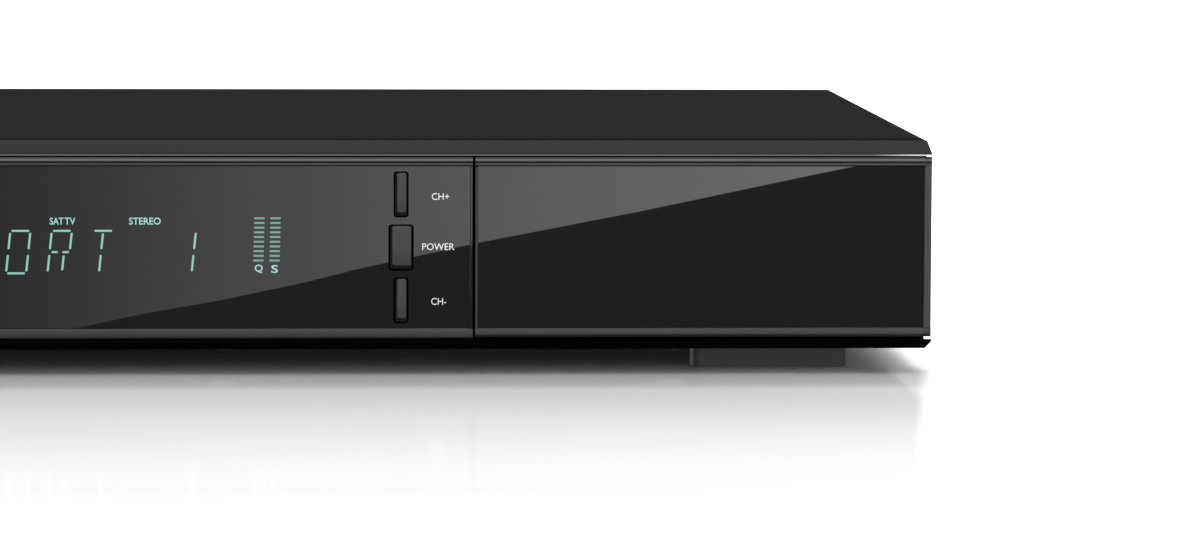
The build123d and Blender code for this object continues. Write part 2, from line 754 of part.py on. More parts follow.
with BuildPart() as door_panel:
    with BuildSketch(facing(front_y + inlay_sink)):
        with Locations(((door_left + lip + door_right - strip_side) / 2, inlay_mid_z)):
            Rectangle(
                door_right - strip_side - door_left - lip - 2 * inlay_gap,
                inlay_high - inlay_low - 2 * inlay_gap,
            )
    extrude(amount=-inlay_thick)
door_panel.part.label = "door_panel"
export_step(door_panel.part, "parts/door_panel.step")

with BuildPart() as hinge_pins:
    for x, turn in knuckle_spots:
        with BuildSketch(across(x - turn * knuckle_width / 2)):
            with Locations((hinge_y, hinge_z)):
                Circle(pin_radius)
        extrude(amount=turn * (knuckle_width + hinge_side_gap + lug_width))
hinge_pins.part.label = "hinge_pins"
export_step(hinge_pins.part, "parts/hinge_pins.step")

# ---------------------------------------------------------------- push latch
latch_end = 1.5              # solid end of the latch body

with BuildPart() as latch_body:
    with Locations((latch_x, bay_behind, latch_z)):
        Box(latch_width, latch_length, latch_height, align=MIDDLE_BACK)
    with BuildSketch(facing(bay_behind)):
        with Locations((latch_x, latch_z)):
            Circle(plunger_radius + fit_gap)
    extrude(amount=-(latch_length - latch_end), mode=Mode.SUBTRACT)
latch_body.part.label = "latch_body"
export_step(latch_body.part, "parts/latch_body.step")

plunger_tip = door_back + door_side_gap
plunger_room = 1.5           # behind the plunger while the door is shut
plunger_round = 0.5
with BuildPart() as latch_plunger:
    with BuildSketch(facing(plunger_tip)):
        with Locations((latch_x, latch_z)):
            Circle(plunger_radius)
    extrude(amount=-(bay_behind + latch_length - latch_end - plunger_room - plunger_tip))
    fillet(latch_plunger.edges().sort_by(Axis.Y)[0], plunger_round)
latch_plunger.part.label = "latch_plunger"
export_step(latch_plunger.part, "parts/latch_plunger.step")

# ---------------------------------------------------------------- keys and their switches
flange_reach = 0.8           # flange of a key past its cap
flange_thick = 0.8
switch_size = 6.0
switch_depth = 3.4
switch_plunger = 1.0         # how far the plunger stands out
switch_plunger_radius = 1.6
stem_radius = 1.2
switch_face = front_board_y - switch_depth
stem_end = switch_face - switch_plunger
key_plunger_sink = key_travel + 0.2         # room behind the plunger in its switch
key_plunger_gap = 0.1
switch_floor = 1.0
flange_front = wall_back + fit_gap
key_edge = 0.2               # rounding of the face of a key

key_names = ["channel_up_button", "power_button", "channel_down_button"]
for name, z, width in zip(key_names, key_z, key_widths):
    with BuildPart() as key_button:
        with BuildSketch(facing(front_y)):
            with Locations((key_x, z)):
                RectangleRounded(width, key_height, key_round)
        extrude(amount=front_y - flange_front)
        fillet(key_button.faces().sort_by(Axis.Y)[0].edges(), key_edge)
        with Locations((key_x, flange_front, z)):
            Box(
                width + 2 * flange_reach,
                flange_thick,
                key_height + 2 * flange_reach,
                align=MIDDLE_BACK,
            )
        with BuildSketch(facing(flange_front)):
            with Locations((key_x, z)):
                Circle(stem_radius)
        extrude(amount=flange_front - stem_end)
    key_button.part.label = name
    export_step(key_button.part, f"parts/{name}.step")

with BuildPart() as key_switches:
    with Locations([(key_x, switch_face, z) for z in key_z]):
        Box(switch_size, switch_depth, switch_size, align=MIDDLE_BACK)
    with BuildSketch(facing(switch_face)):
        with Locations([(key_x, z) for z in key_z]):
            Circle(switch_plunger_radius + key_plunger_gap)
    extrude(amount=-(switch_depth - switch_floor), mode=Mode.SUBTRACT)
key_switches.part.label = "key_switches"
export_step(key_switches.part, "parts/key_switches.step")

plunger_names = ["channel_up_plunger", "power_plunger", "channel_down_plunger"]
for name, z in zip(plunger_names, key_z):
    with BuildPart() as key_plunger:
        with BuildSketch(facing(stem_end)):
            with Locations((key_x, z)):
                Circle(switch_plunger_radius)
        extrude(amount=-(switch_plunger + switch_depth - switch_floor - key_plunger_sink))
    key_plunger.part.label = name
    export_step(key_plunger.part, f"parts/{name}.step")

# ---------------------------------------------------------------- front board
display_depth = 6.4
display_round = 1.0
display_front = wall_back + 0.3
display_seal = 1.3           # sealed tip of the glass at the end of the tube
display_seal_reach = 1.2
eye_block_depth = 5.0
eye_block_width = 7.0
eye_block_height = 9.0
eye_lens_radius = 2.6
eye_lens_depth = 1.6
eye_lens_rise = 0.5
lamp_rim = 0.4
lamp_rim_depth = 1.2
lamp_tip = 0.6               # rear of the front wall to the tip of the lamp
holder_reach = 1.5           # foam past the ends of the tube
holder_inset = 2.0
front_board_mid_x = (front_board_left + front_board_right) / 2
front_board_mid_z = (front_board_low + front_board_high) / 2

with BuildPart() as front_board:
    with Locations((front_board_mid_x, front_board_y, front_board_mid_z)):
        Box(
            front_board_right - front_board_left,
            board_thick,
            front_board_high - front_board_low,
            align=MIDDLE_BACK,
        )
    with BuildSketch(facing(front_board_y)):
        with Locations(boss_places):
            Circle(clear_radius)
    extrude(amount=-board_thick, mode=Mode.SUBTRACT)
front_board.part.label = "front_board"
export_step(front_board.part, "parts/front_board.step")

with BuildPart() as display_tube:
    with Locations((display_x, display_front, panel_mid_z)):
        Box(display_width, display_depth, display_height, align=MIDDLE_BACK)
    fillet(display_tube.edges().filter_by(Axis.Y), display_round)
    with BuildSketch(facing(display_front + display_depth / 2)):
        with Locations((display_x + display_width / 2 + display_seal_reach, panel_mid_z)):
            Circle(display_seal)
    extrude(amount=display_seal, both=True)
display_tube.part.label = "display_tube"
export_step(display_tube.part, "parts/display_tube.step")

with BuildPart() as display_holder:
    with Locations((display_x, display_front + display_depth, panel_mid_z)):
        Box(
            display_width + 2 * holder_reach,
            front_board_y - display_front - display_depth,
            display_height - 2 * holder_inset,
            align=MIDDLE_BACK,
        )
display_holder.part.label = "display_holder"
export_step(display_holder.part, "parts/display_holder.step")

with BuildPart() as remote_receiver:
    with Locations((eye_x, front_board_y - eye_block_depth, panel_mid_z)):
        Box(eye_block_width, eye_block_depth, eye_block_height, align=MIDDLE_BACK)
    with BuildSketch(facing(front_board_y - eye_block_depth)):
        with Locations((eye_x, panel_mid_z + eye_lens_rise)):
            Circle(eye_lens_radius)
    extrude(amount=eye_lens_depth)
remote_receiver.part.label = "remote_receiver"
export_step(remote_receiver.part, "parts/remote_receiver.step")

with BuildPart() as standby_lamp:
    with BuildSketch(facing(front_board_y)):
        with Locations((lamp_x, panel_mid_z)):
            Circle(lamp_radius)
    extrude(amount=front_board_y - wall_back - lamp_tip)
    with BuildSketch(facing(front_board_y)):
        with Locations((lamp_x, panel_mid_z)):
            Circle(lamp_radius + lamp_rim)
    extrude(amount=lamp_rim_depth)
    fillet(standby_lamp.edges().sort_by(Axis.Y)[0], 0.8 * lamp_radius)
standby_lamp.part.label = "standby_lamp"
export_step(standby_lamp.part, "parts/standby_lamp.step")

# ---------------------------------------------------------------- main board
main_front_gap = 1.7
main_back_gap = 2.7
main_front = tray_front + main_front_gap
main_back = rear_inner - main_back_gap
main_mid_y = (main_front + main_back) / 2
board_hole_inset = 4.0
hole_front = 14.0            # rows of holes, from the front and rear edges of the board
hole_back = 46.0
hole_middle_shift = 2.0
hole_right_front = 8.0       # right pair, either side of the middle of the board
hole_right_back = 12.0
main_hole_x = [main_left + board_hole_inset, main_x - hole_middle_shift]
main_hole_y = [main_front + hole_front, main_mid_y, main_back - hole_back]
right_hole_y = [main_mid_y - hole_right_front, main_mid_y + hole_right_back]
main_holes = [(x, y) for x in main_hole_x for y in main_hole_y]
main_holes += [(main_right - board_hole_inset, y) for y in right_hole_y]
power_setback = 8.0
power_front = main_front + power_setback
power_back = main_back
power_mid_y = (power_front + power_back) / 2
power_hole_back = 57.0
power_hole_x = [power_left + board_hole_inset, power_right - board_hole_inset]
power_hole_y = [power_front + board_hole_inset, power_back - power_hole_back]
power_holes = [(x, y) for x in power_hole_x for y in power_hole_y]
standoff_radius = 2.6

with BuildPart() as main_board:
    with Locations((main_x, main_mid_y, board_bottom)):
        Box(main_board_width, main_back - main_front, board_thick, align=UPWARD)
    with BuildSketch(Plane.XY.offset(board_bottom)):
        with Locations(main_holes):
            Circle(clear_radius)
    extrude(amount=board_thick, mode=Mode.SUBTRACT)
main_board.part.label = "main_board"
export_step(main_board.part, "parts/main_board.step")

with BuildPart() as board_standoffs:
    with BuildSketch(Plane.XY.offset(base_z + sheet)):
        with Locations(main_holes + power_holes):
            Circle(standoff_radius)
            Circle(thread_radius, mode=Mode.SUBTRACT)
    extrude(amount=standoff_height)
board_standoffs.part.label = "board_standoffs"
export_step(board_standoffs.part, "parts/board_standoffs.step")

with BuildPart() as board_screws:
    with BuildSketch(Plane.XY.offset(board_top)):
        with Locations(main_holes + power_holes):
            Circle(head_radius)
    extrude(amount=pan_height)
    with BuildSketch(Plane.XY.offset(board_top)):
        with Locations(main_holes + power_holes):
            Circle(screw_radius)
    extrude(amount=-screw_length)
    with BuildSketch(facing(front_board_y + board_thick)):
        with Locations(boss_places):
            Circle(head_radius)
    extrude(amount=-pan_height)
    with BuildSketch(facing(front_board_y + board_thick)):
        with Locations(boss_places):
            Circle(screw_radius)
    extrude(amount=screw_length)
board_screws.part.label = "board_screws"
export_step(board_screws.part, "parts/board_screws.step")

# Processor under its heat sink
processor_shift = (22.0, 12.0)
processor_x = main_x - processor_shift[0]
processor_y = main_mid_y - processor_shift[1]
processor_size = 27.0
processor_height = 1.8
sink_size = 40.0
sink_base = 3.0
sink_height = 13.0
fin_count = 9
fin_thick = 1.2

with BuildPart() as processor_heatsink:
    with Locations((processor_x, processor_y, board_top + processor_height)):
        Box(sink_size, sink_size, sink_base, align=UPWARD)
    with BuildSketch(Plane.XY.offset(board_top + processor_height + sink_base)):
        with Locations((processor_x, processor_y)):
            with GridLocations((sink_size - fin_thick) / (fin_count - 1), 1, fin_count, 1):
                Rectangle(fin_thick, sink_size)
    extrude(amount=sink_height - sink_base)
processor_heatsink.part.label = "processor_heatsink"
export_step(processor_heatsink.part, "parts/processor_heatsink.step")

chip_height = 1.2
chip_length = 18.0
chip_width = 12.0
memory_width = 14.0
memory_depth = 11.0
memory_pitch = 17.0
memory_gap = 6.0
chip_gap = 2.0
chip_spacing = 8.0
memory_x = processor_x - sink_size / 2 - memory_gap - memory_width / 2
chip_y = processor_y + sink_size / 2 + chip_gap + chip_length / 2

with BuildPart() as board_chips:
    with Locations((processor_x, processor_y, board_top)):
        Box(processor_size, processor_size, processor_height, align=UPWARD)
    with Locations((memory_x, processor_y, board_top)):
        with GridLocations(1, memory_pitch, 1, 2):
            Box(memory_width, memory_depth, chip_height, align=UPWARD)
    with Locations((processor_x, chip_y, board_top)):
        with GridLocations(chip_width + chip_spacing, 1, 2, 1):
            Box(chip_width, chip_length, chip_height, align=UPWARD)
board_chips.part.label = "board_chips"
export_step(board_chips.part, "parts/board_chips.step")

# Flat ribbon from the front board to the main board
ribbon_inset = 36.0
ribbon_x = main_left + ribbon_inset
ribbon_width = 21.0
ribbon_plug_end = 2.0        # plug past each edge of the ribbon
ribbon_plug_width = ribbon_width + 2 * ribbon_plug_end
ribbon_thick = 0.3
ribbon_plug_height = 5.0
ribbon_plug_depth = 4.5
ribbon_front_y = front_board_y + board_thick
ribbon_drop = 9.0
ribbon_setback = 13.0
ribbon_front_z = front_board_high - ribbon_drop
ribbon_main_y = main_front + ribbon_setback
ribbon_bend = 3.0

with BuildPart() as ribbon_connectors:
    with Locations((ribbon_x, ribbon_front_y, ribbon_front_z)):
        Box(ribbon_plug_width, ribbon_plug_height, ribbon_plug_depth, align=MIDDLE_BACK)
    with Locations((ribbon_x, ribbon_main_y, board_top)):
        Box(ribbon_plug_width, ribbon_plug_depth, ribbon_plug_height, align=UPWARD)
ribbon_connectors.part.label = "ribbon_connectors"
export_step(ribbon_connectors.part, "parts/ribbon_connectors.step")

with BuildPart() as ribbon_cable:
    with BuildSketch(across(ribbon_x - ribbon_width / 2)):
        with BuildLine():
            FilletPolyline(
                (ribbon_front_y + ribbon_plug_height, ribbon_front_z),
                (ribbon_main_y, ribbon_front_z),
                (ribbon_main_y, board_top + ribbon_plug_height),
                radius=ribbon_bend,
            )
            offset(amount=ribbon_thick, side=Side.LEFT)
        make_face()
    extrude(amount=ribbon_width)
ribbon_cable.part.label = "ribbon_cable"
export_step(ribbon_cable.part, "parts/ribbon_cable.step")

# ---------------------------------------------------------------- common interface slot
ci_mid_y = ci_front + ci_length / 2
lever_arm = 12.0
lever_thick = 1.0
lever_round = 1.5
lever_eye = 1.2              # wall round the pivot
lever_setback = 10.0
lever_y = ci_front + ci_length - lever_setback
lever_x = eject_x - lever_arm
lever_lift = 0.1             # lever above the skin of the slot
lever_play = 0.2            # between the lever's ends and the fingers beside them
pivot_radius = 1.5
eject_travel = 4.0
finger_depth = 2.0
finger_round = 1.2           # lets the turned lever pass the finger's corner
finger_back = lever_y - lever_round - lever_play
plate_width = 4.5
plate_thick = 0.8
plate_finger = 3.5
plate_gap = 0.5              # between the end of the lever and the plate
plate_x = lever_x - lever_arm - lever_round - plate_gap - plate_width / 2
plate_z = ci_top + lever_lift
hook_thick = 1.5
hook_setback = 2.0
hook_back = ci_front + ci_length - hook_setback
hook_drop = 5.0
hook_room = 0.3              # round the travel of the hook
pivot_head = 0.5
bar_round = 0.4
bar_proud = 0.6              # how far the pressed bar still stands out
header_depth = 6.0

with BuildPart() as ci_slot:
    with Locations((ci_x, ci_mid_y, board_top)):
        Box(ci_width, ci_length, ci_height, align=UPWARD)
    with Locations((ci_x, ci_mid_y, board_top + ci_skin)):
        Box(ci_inner_width, ci_length, ci_inner_height, align=UPWARD, mode=Mode.SUBTRACT)
    with BuildSketch(Plane.XY.offset(ci_top - ci_skin)):
        with Locations((plate_x, hook_back - (eject_travel + hook_thick) / 2)):
            Rectangle(plate_width + 2 * hook_room, eject_travel + hook_thick + 2 * hook_room)
    extrude(amount=ci_skin, mode=Mode.SUBTRACT)
    with Locations((lever_x, lever_y, ci_top)):
        Cylinder(pivot_radius, lever_lift + lever_thick + pivot_head, align=UPWARD)
ci_slot.part.label = "ci_slot"
export_step(ci_slot.part, "parts/ci_slot.step")

with BuildPart() as ci_connector:
    with Locations((ci_x, ci_front + ci_length, board_top)):
        Box(ci_width, header_depth, ci_height, align=BACKWARD)
ci_connector.part.label = "ci_connector"
export_step(ci_connector.part, "parts/ci_connector.step")

button_front = bay_back - eject_travel - bar_proud
with BuildPart() as eject_button:
    with Locations((eject_x, button_front, eject_z)):
        Box(eject_bar, finger_back - button_front, eject_bar, align=MIDDLE_BACK)
    with Locations((eject_x, finger_back, eject_z - eject_bar / 2)):
        Box(
            eject_bar,
            finger_depth,
            plate_z + lever_thick - eject_z + eject_bar / 2,
            align=FORWARD,
        )
    fillet(eject_button.faces().sort_by(Axis.Y)[0].edges(), bar_round)
    fillet(eject_button.faces().sort_by(Axis.Y)[-1].edges().filter_by(Axis.Z), finger_round)
eject_button.part.label = "eject_button"
export_step(eject_button.part, "parts/eject_button.step")

with BuildPart() as eject_lever:
    with BuildSketch(Plane.XY.offset(ci_top + lever_lift)):
        with Locations((lever_x, lever_y)):
            SlotCenterToCenter(2 * lever_arm, 2 * lever_round)
            Circle(pivot_radius + lever_eye)
            Circle(pivot_radius + run_gap, mode=Mode.SUBTRACT)
    extrude(amount=lever_thick)
eject_lever.part.label = "eject_lever"
export_step(eject_lever.part, "parts/eject_lever.step")

with BuildPart() as eject_plate:
    with Locations((plate_x, finger_back - finger_depth, plate_z)):
        Box(plate_width, hook_back - finger_back + finger_depth, plate_thick, align=BACKWARD)
    with Locations((plate_x + plate_width / 2 + plate_finger / 2, finger_back, plate_z)):
        Box(plate_finger, finger_depth, plate_thick, align=FORWARD)
    with Locations((plate_x, hook_back, plate_z + plate_thick - hook_drop)):
        Box(plate_width, hook_thick, hook_drop, align=FORWARD)
eject_plate.part.label = "eject_plate"
export_step(eject_plate.part, "parts/eject_plate.step")

# ---------------------------------------------------------------- card reader and its bracket
bracket_room = 1.2           # between the slot and the legs of the bracket
bracket_left = ci_x - ci_width / 2 - bracket_room - sheet
bracket_right = ci_x + ci_width / 2 + bracket_room + eject_bar + sheet
bracket_setback = 6.0
bracket_front = ci_front + bracket_setback
bracket_length = 34.0
reader_end = 3.0             # solid end of the card slot
reader_lead = 0.6            # slope of its mouth

with BuildPart() as reader_bracket:
    with BuildSketch(facing(bracket_front)):
        with Locations(((bracket_left + bracket_right) / 2, (board_top + reader_z) / 2)):
            Rectangle(bracket_right - bracket_left, reader_z - board_top)
        with Locations(((bracket_left + bracket_right) / 2, (board_top + reader_z - sheet) / 2)):
            Rectangle(
                bracket_right - bracket_left - 2 * sheet,
                reader_z - sheet - board_top,
                mode=Mode.SUBTRACT,
            )
    extrude(amount=-bracket_length)
reader_bracket.part.label = "reader_bracket"
export_step(reader_bracket.part, "parts/reader_bracket.step")

with BuildPart() as card_reader:
    with Locations((ci_x, ci_front, reader_z)):
        Box(reader_width, reader_length, reader_height, align=BACKWARD)
    with Locations((ci_x, ci_front, reader_slot_z)):
        Box(
            reader_slot_width,
            reader_length - reader_end,
            reader_slot_height,
            align=MIDDLE_BACK,
            mode=Mode.SUBTRACT,
        )
    mouth_edges = card_reader.edges().filter_by(Axis.X).group_by(Axis.Y)[0].sort_by(Axis.Z)
    chamfer(mouth_edges[1:3], reader_lead)
card_reader.part.label = "card_reader"
export_step(card_reader.part, "parts/card_reader.step")

# ---------------------------------------------------------------- USB sockets
usb_length = 14.0
usb_wall = 0.5
usb_depth = 12.5             # mouth to the closed end
usb_tongue = 1.8
usb_tongue_width = 10.0
usb_tongue_sink = 1.0        # mouth to the tongue
usb_tongue_z = board_top + usb_height - usb_wall - 0.5 - usb_tongue
usb_front_y = bay_back + fit_gap
usb_back_y = rear_outer + 0.4

with BuildPart() as usb_ports:
    for x, mouth_y, inward in ((usb_front_x, usb_front_y, 1), (usb_rear_x, usb_back_y, -1)):
        grow = BACKWARD if inward > 0 else FORWARD
        with Locations((x, mouth_y, board_top)):
            Box(usb_width, usb_length, usb_height, align=grow)
        with Locations((x, mouth_y, board_top + usb_wall)):
            Box(
                usb_width - 2 * usb_wall,
                usb_depth,
                usb_height - 2 * usb_wall,
                align=grow,
                mode=Mode.SUBTRACT,
            )
        with Locations((x, mouth_y + inward * usb_tongue_sink, usb_tongue_z)):
            Box(usb_tongue_width, usb_depth, usb_tongue, align=grow)
usb_ports.part.label = "usb_ports"
export_step(usb_ports.part, "parts/usb_ports.step")

# ---------------------------------------------------------------- tuners and aerial sockets
can_height = 14.0
can_round = 0.8
can_back = rear_inner - 0.3
satellite_length = 48.0
terrestrial_length = 44.0
aerial_bore = 3.3
aerial_bore_depth = 8.0
f_recess = 1.0
f_contact = 0.55             # hole that takes the core of the cable
nut_radius = 6.35            # across the corners
nut_thick = 2.0
nut_gap = 0.05

with BuildPart() as tuners:
    with Locations((satellite_x, can_back, board_top)):
        Box(satellite_width, satellite_length, can_height, align=FORWARD)
    with Locations((terrestrial_x, can_back, board_top)):
        Box(terrestrial_width, terrestrial_length, can_height, align=FORWARD)
    fillet(tuners.edges().group_by(Axis.Z)[-1], can_round)
tuners.part.label = "tuners"
export_step(tuners.part, "parts/tuners.step")

f_step = rear_outer + nut_thick + 0.3        # where the bare thread of an F socket starts
thread_break = 0.4
with BuildPart() as f_sockets:
    with BuildSketch(facing(can_back)):
        with Locations((satellite_x, aerial_z)):
            with GridLocations(aerial_pitch, 1, 2, 1):
                Circle(aerial_stem)
    extrude(amount=-(f_step - can_back))
    with BuildSketch(facing(f_step)):
        with Locations((satellite_x, aerial_z)):
            with GridLocations(aerial_pitch, 1, 2, 1):
                Circle(aerial_radius)
    extrude(amount=-(aerial_tip - f_step))
    chamfer(f_sockets.faces().group_by(Axis.Y)[-1].edges(), thread_break)
    with BuildSketch(facing(aerial_tip)):
        with Locations((satellite_x, aerial_z)):
            with GridLocations(aerial_pitch, 1, 2, 1):
                Circle(aerial_bore)
    extrude(amount=f_recess, mode=Mode.SUBTRACT)
    with BuildSketch(facing(aerial_tip)):
        with Locations((satellite_x, aerial_z)):
            with GridLocations(aerial_pitch, 1, 2, 1):
                Circle(f_contact)
    extrude(amount=aerial_bore_depth, mode=Mode.SUBTRACT)
f_sockets.part.label = "f_sockets"
export_step(f_sockets.part, "parts/f_sockets.step")

with BuildPart() as f_nuts:
    with BuildSketch(facing(rear_outer)):
        with Locations((satellite_x, aerial_z)):
            with GridLocations(aerial_pitch, 1, 2, 1):
                RegularPolygon(nut_radius, 6)
                Circle(aerial_stem + nut_gap, mode=Mode.SUBTRACT)
    extrude(amount=-nut_thick)
f_nuts.part.label = "f_nuts"
export_step(f_nuts.part, "parts/f_nuts.step")

iec_bore = 4.1
iec_pin = 1.15
iec_sleeve = 2.2
iec_socket = 1.25            # bore that takes the pin of the plug
iec_step = rear_outer + 0.3
with BuildPart() as iec_sockets:
    with BuildSketch(facing(can_back)):
        with Locations((terrestrial_x, aerial_z)):
            with GridLocations(aerial_pitch, 1, 2, 1):
                Circle(aerial_stem)
    extrude(amount=-(iec_step - can_back))
    with BuildSketch(facing(iec_step)):
        with Locations((terrestrial_x, aerial_z)):
            with GridLocations(aerial_pitch, 1, 2, 1):
                Circle(aerial_radius)
    extrude(amount=-(aerial_tip - iec_step))
    with BuildSketch(facing(aerial_tip)):
        with Locations((terrestrial_x, aerial_z)):
            with GridLocations(aerial_pitch, 1, 2, 1):
                Circle(iec_bore)
        with Locations((terrestrial_x - aerial_pitch / 2, aerial_z)):
            Circle(iec_pin, mode=Mode.SUBTRACT)
        with Locations((terrestrial_x + aerial_pitch / 2, aerial_z)):
            Circle(iec_sleeve, mode=Mode.SUBTRACT)
            Circle(iec_socket)
    extrude(amount=aerial_bore_depth, mode=Mode.SUBTRACT)
iec_sockets.part.label = "iec_sockets"
export_step(iec_sockets.part, "parts/iec_sockets.step")

# ---------------------------------------------------------------- other rear sockets
socket_proud = 0.4           # mouth of a socket outside the rear panel
socket_mouth_y = rear_outer + socket_proud
hdmi_depth = 11.5
hdmi_mouth_half = 7.0
hdmi_mouth_low = 5.2         # half of its narrow lower side
hdmi_mouth_z = [0.8, 2.6, 5.3]
hdmi_mouth_depth = 9.0
hdmi_tongue = (10.6, 8.0, 1.2)
hdmi_tongue_sink = 1.2

with BuildPart() as hdmi_port:
    with Locations((hdmi_x, socket_mouth_y, board_top)):
        Box(hdmi_width, hdmi_depth, hdmi_height, align=FORWARD)
    with BuildSketch(facing(socket_mouth_y)):
        with BuildLine():
            Polyline(
                (hdmi_x - hdmi_mouth_half, board_top + hdmi_mouth_z[2]),
                (hdmi_x + hdmi_mouth_half, board_top + hdmi_mouth_z[2]),
                (hdmi_x + hdmi_mouth_half, board_top + hdmi_mouth_z[1]),
                (hdmi_x + hdmi_mouth_low, board_top + hdmi_mouth_z[0]),
                (hdmi_x - hdmi_mouth_low, board_top + hdmi_mouth_z[0]),
                (hdmi_x - hdmi_mouth_half, board_top + hdmi_mouth_z[1]),
                close=True,
            )
        make_face()
    extrude(amount=hdmi_mouth_depth, mode=Mode.SUBTRACT)
    with Locations((hdmi_x, socket_mouth_y - hdmi_tongue_sink, board_top + hdmi_mouth_z[1])):
        Box(*hdmi_tongue, align=FORWARD)
hdmi_port.part.label = "hdmi_port"
export_step(hdmi_port.part, "parts/hdmi_port.step")

optical_depth = 13.0
optical_mouth = 5.6
optical_mouth_depth = 6.0

with BuildPart() as optical_port:
    with Locations((optical_x, socket_mouth_y, board_top)):
        Box(optical_width, optical_depth, optical_height, align=FORWARD)
    with BuildSketch(facing(socket_mouth_y)):
        with Locations((optical_x, board_top + optical_height / 2)):
            Rectangle(optical_mouth, optical_mouth)
    extrude(amount=optical_mouth_depth, mode=Mode.SUBTRACT)
optical_port.part.label = "optical_port"
export_step(optical_port.part, "parts/optical_port.step")

network_depth = 21.0
network_mouth_width = 11.8
network_mouth_height = 8.2
network_mouth_z = board_top + 6.4
network_mouth_depth = 14.0
network_latch_width = 6.0
network_latch_drop = 1.5     # slot of the plug's latch under the mouth

with BuildPart() as network_port:
    with Locations((network_x, socket_mouth_y, board_top)):
        Box(network_width, network_depth, network_height, align=FORWARD)
    with BuildSketch(facing(socket_mouth_y)):
        with Locations((network_x, network_mouth_z)):
            Rectangle(network_mouth_width, network_mouth_height)
        with Locations((network_x, network_mouth_z - network_mouth_height / 2)):
            Rectangle(network_latch_width, 2 * network_latch_drop)
    extrude(amount=network_mouth_depth, mode=Mode.SUBTRACT)
network_port.part.label = "network_port"
export_step(network_port.part, "parts/network_port.step")

rca_length = 8.5
rca_depth = 13.0
rca_bore = 1.7
rca_bore_end = 2.0           # bore past the mouth plate
rca_shoulder = 2.0

with BuildPart() as rca_block:
    with Locations((rca_x, socket_mouth_y, board_top)):
        Box(rca_width - 2 * rca_rim, rca_depth, rca_height, align=FORWARD)
    with Locations((rca_x, rear_inner - fit_gap, board_top)):
        Box(rca_width, rca_depth - rca_shoulder, rca_height, align=FORWARD)
    with BuildSketch(facing(socket_mouth_y)):
        with Locations((rca_x, board_top + rca_height / 2)):
            with GridLocations(rca_width / 2, rca_pitch, 2, 2):
                Circle(rca_barrel)
    extrude(amount=-rca_length)
    with BuildSketch(facing(socket_mouth_y + rca_length)):
        with Locations((rca_x, board_top + rca_height / 2)):
            with GridLocations(rca_width / 2, rca_pitch, 2, 2):
                Circle(rca_bore)
    extrude(amount=rca_length + rca_bore_end, mode=Mode.SUBTRACT)
rca_block.part.label = "rca_block"
export_step(rca_block.part, "parts/rca_block.step")

scart_depth = 20.0
scart_shoulder = 4.0
scart_mouth_low = board_top + 2.2
scart_mouth_height = 9.6
scart_mouth_high = scart_mouth_low + scart_mouth_height
scart_mouth_half = 20.5
scart_mouth_top_left = 17.0  # half of its upper side, past the slope
scart_slope_drop = 3.5
scart_slope_z = scart_mouth_high - scart_slope_drop
scart_mouth_depth = 12.0
scart_tongue = (36.0, 11.0, 5.0)
scart_tongue_sink = 2.0
scart_tongue_z = board_top + 4.4

with BuildPart() as scart_port:
    with Locations((scart_x, socket_mouth_y, board_top)):
        Box(scart_mouth, scart_depth, scart_height, align=FORWARD)
    with Locations((scart_x, rear_inner - fit_gap, board_top)):
        Box(scart_width, scart_depth - scart_shoulder, scart_height, align=FORWARD)
    with BuildSketch(facing(socket_mouth_y)):
        with BuildLine():
            Polyline(
                (scart_x - scart_mouth_half, scart_mouth_low),
                (scart_x + scart_mouth_half, scart_mouth_low),
                (scart_x + scart_mouth_half, scart_mouth_high),
                (scart_x - scart_mouth_top_left, scart_mouth_high),
                (scart_x - scart_mouth_half, scart_slope_z),
                close=True,
            )
        make_face()
    extrude(amount=scart_mouth_depth, mode=Mode.SUBTRACT)
    with Locations((scart_x, socket_mouth_y - scart_tongue_sink, scart_tongue_z)):
        Box(*scart_tongue, align=FORWARD)
scart_port.part.label = "scart_port"
export_step(scart_port.part, "parts/scart_port.step")

# ---------------------------------------------------------------- mains inlet and switch
inlet_depth = 22.0
inlet_mouth_depth = 14.0
inlet_mouth_half = 4.15      # half the height of its mouth
inlet_pitch = 8.4
inlet_z = board_top + inlet_height / 2
pin_pitch = 8.6
pin_sink = 2.5               # mouth to the tips of the pins
pin_root = 0.5
inlet_pin = 1.2

with BuildPart() as mains_inlet:
    with Locations((inlet_x, socket_mouth_y, board_top)):
        Box(inlet_width, inlet_depth, inlet_height, align=FORWARD)
    with BuildSketch(facing(socket_mouth_y)):
        with Locations((inlet_x, inlet_z)):
            SlotCenterToCenter(inlet_pitch, 2 * inlet_mouth_half)
    extrude(amount=inlet_mouth_depth, mode=Mode.SUBTRACT)
    with BuildSketch(facing(socket_mouth_y - pin_sink)):
        with Locations((inlet_x, inlet_z)):
            with GridLocations(pin_pitch, 1, 2, 1):
                Circle(inlet_pin)
    extrude(amount=inlet_mouth_depth - pin_sink + pin_root)
mains_inlet.part.label = "mains_inlet"
export_step(mains_inlet.part, "parts/mains_inlet.step")

switch_flange = 1.2
switch_body_depth = 14.0
switch_well = 10.0
rocker_width = 6.4
rocker_length = 9.8
rocker_side_gap = 0.4
rocker_end_gap = 0.5
rocker_axis_y = rear_outer - 2.0
rocker_tilt = 8.0            # degrees either side of level; it rests on ON
trunnion_radius = 1.0

